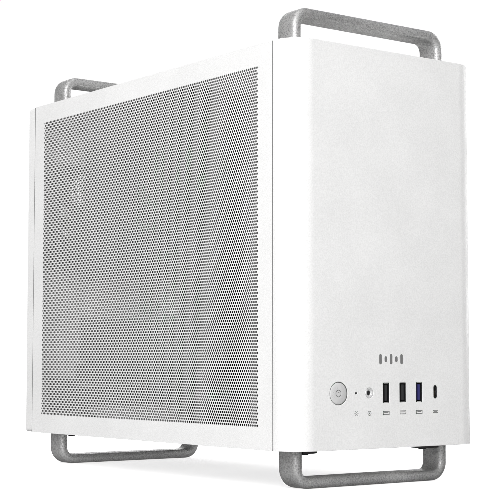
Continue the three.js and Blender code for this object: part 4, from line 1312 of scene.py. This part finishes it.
def world():
    """White behind the tower, and round it a softer white, brighter from the left, to light and reflect."""
    made = bpy.data.worlds.new("studio")
    bpy.context.scene.world = made
    made.cycles.sampling_method = "NONE"
    made.use_nodes = True
    tree = made.node_tree
    plain = tree.nodes["Background"]
    plain.inputs["Color"].default_value = (1, 1, 1, 1)
    plain.inputs["Strength"].default_value = BACKDROP
    bright_side = Vector((-0.72, -0.52, 0.35)).normalized()
    toward = {0: coordinates(tree, "Generated"), 1: bright_side}
    facing = add_node(tree, "VectorMath", toward, "Value", operation="DOT_PRODUCT")
    share = maths(tree, "POWER", ranged(tree, facing, 0, 1, -0.75, 0.85), 1.3)
    around = add_node(tree, "Background", {"Strength": ranged(tree, share, *SURROUND, 0, 1)})
    to_camera = add_node(tree, "LightPath", {}, "Is Camera Ray")
    choice = add_node(tree, "MixShader", {0: to_camera, 1: around, 2: plain.outputs[0]})
    put(tree, tree.nodes["World Output"].inputs["Surface"], choice)


def lamp(name, place, target, size, power):
    data = bpy.data.lights.new(name, "AREA")
    data.shape = "RECTANGLE"
    data.size, data.size_y = size
    data.energy = power
    made = bpy.data.objects.new(name, data)
    made.location = place
    made.rotation_euler = (Vector(target) - Vector(place)).to_track_quat("-Z", "Y").to_euler()
    bpy.context.scene.collection.objects.link(made)


def camera(yaw, pitch, place):
    data = bpy.data.cameras.new("camera")
    data.sensor_width = 36
    data.lens = 104.7
    data.dof.use_dof = False
    data.clip_start, data.clip_end = 0.05, 60
    made = bpy.data.objects.new("camera", data)
    yaw, pitch = math.radians(yaw), math.radians(pitch)
    ahead = Vector((math.sin(yaw) * math.cos(pitch), math.cos(yaw) * math.cos(pitch), math.sin(pitch)))
    made.location = place
    made.rotation_euler = ahead.to_track_quat("-Z", "Y").to_euler()
    bpy.context.scene.collection.objects.link(made)
    bpy.context.scene.camera = made


def studio():
    floor()
    world()
    lamp("key_light", (-1.2, -1.1, 0.8), (0, -0.1, 0.2), (1.1, 1.1), 24)
    lamp("top_light", (-0.1, 0.1, 1.7), (0, 0, 0.2), (1.2, 1.2), 3)
    lamp("rim_light", (1.3, 0.0, 0.5), (0.05, -0.15, 0.2), (0.5, 1.0), 9)
    lamp("rear_light", (1.0, 1.5, 0.9), (0, 0.15, 0.15), (1.2, 1.2), 11)
    camera(37.11, 4.37, (-0.7122, -0.961, 0.0892))
    scene = bpy.context.scene
    scene.view_settings.view_transform = "Standard"
    scene.view_settings.look = "None"
    scene.cycles.pixel_filter_type = "BLACKMAN_HARRIS"
    scene.cycles.filter_width = 0.6
    scene.cycles.use_denoising = True
    scene.cycles.denoising_prefilter = "NONE"
    scene.cycles.denoising_quality = "BALANCED"


def shell_and_front():
    front_panel()
    side_panel("left_side_panel", -1, "left_panel")
    side_panel("right_side_panel", 1, "right_panel")
    painted_seam_shadows()
    cover_plate("top_plate", top_z[1] - COVER_SKIN, -1)
    cover_plate("bottom_plate", rear_z[0], 1)
    handles()
    power_button()
    power_switch()
    for i, port in enumerate(USB_PORTS):
        usb_port(i + 1, port, blue if i == 2 else tongue_grey)
    type_c_port()
    audio_jack()
    light_pipe()
    printed_marks()


def inside_and_rear():
    dressed_nodes()
    fans()
    board_parts()
    cooler()
    memory_and_drive()
    rear_panel()
    rear_ports()
    card_plates()
    mains_inlet()
    graphics_details()
    supply_details()


shell_and_front()
inside_and_rear()
studio()
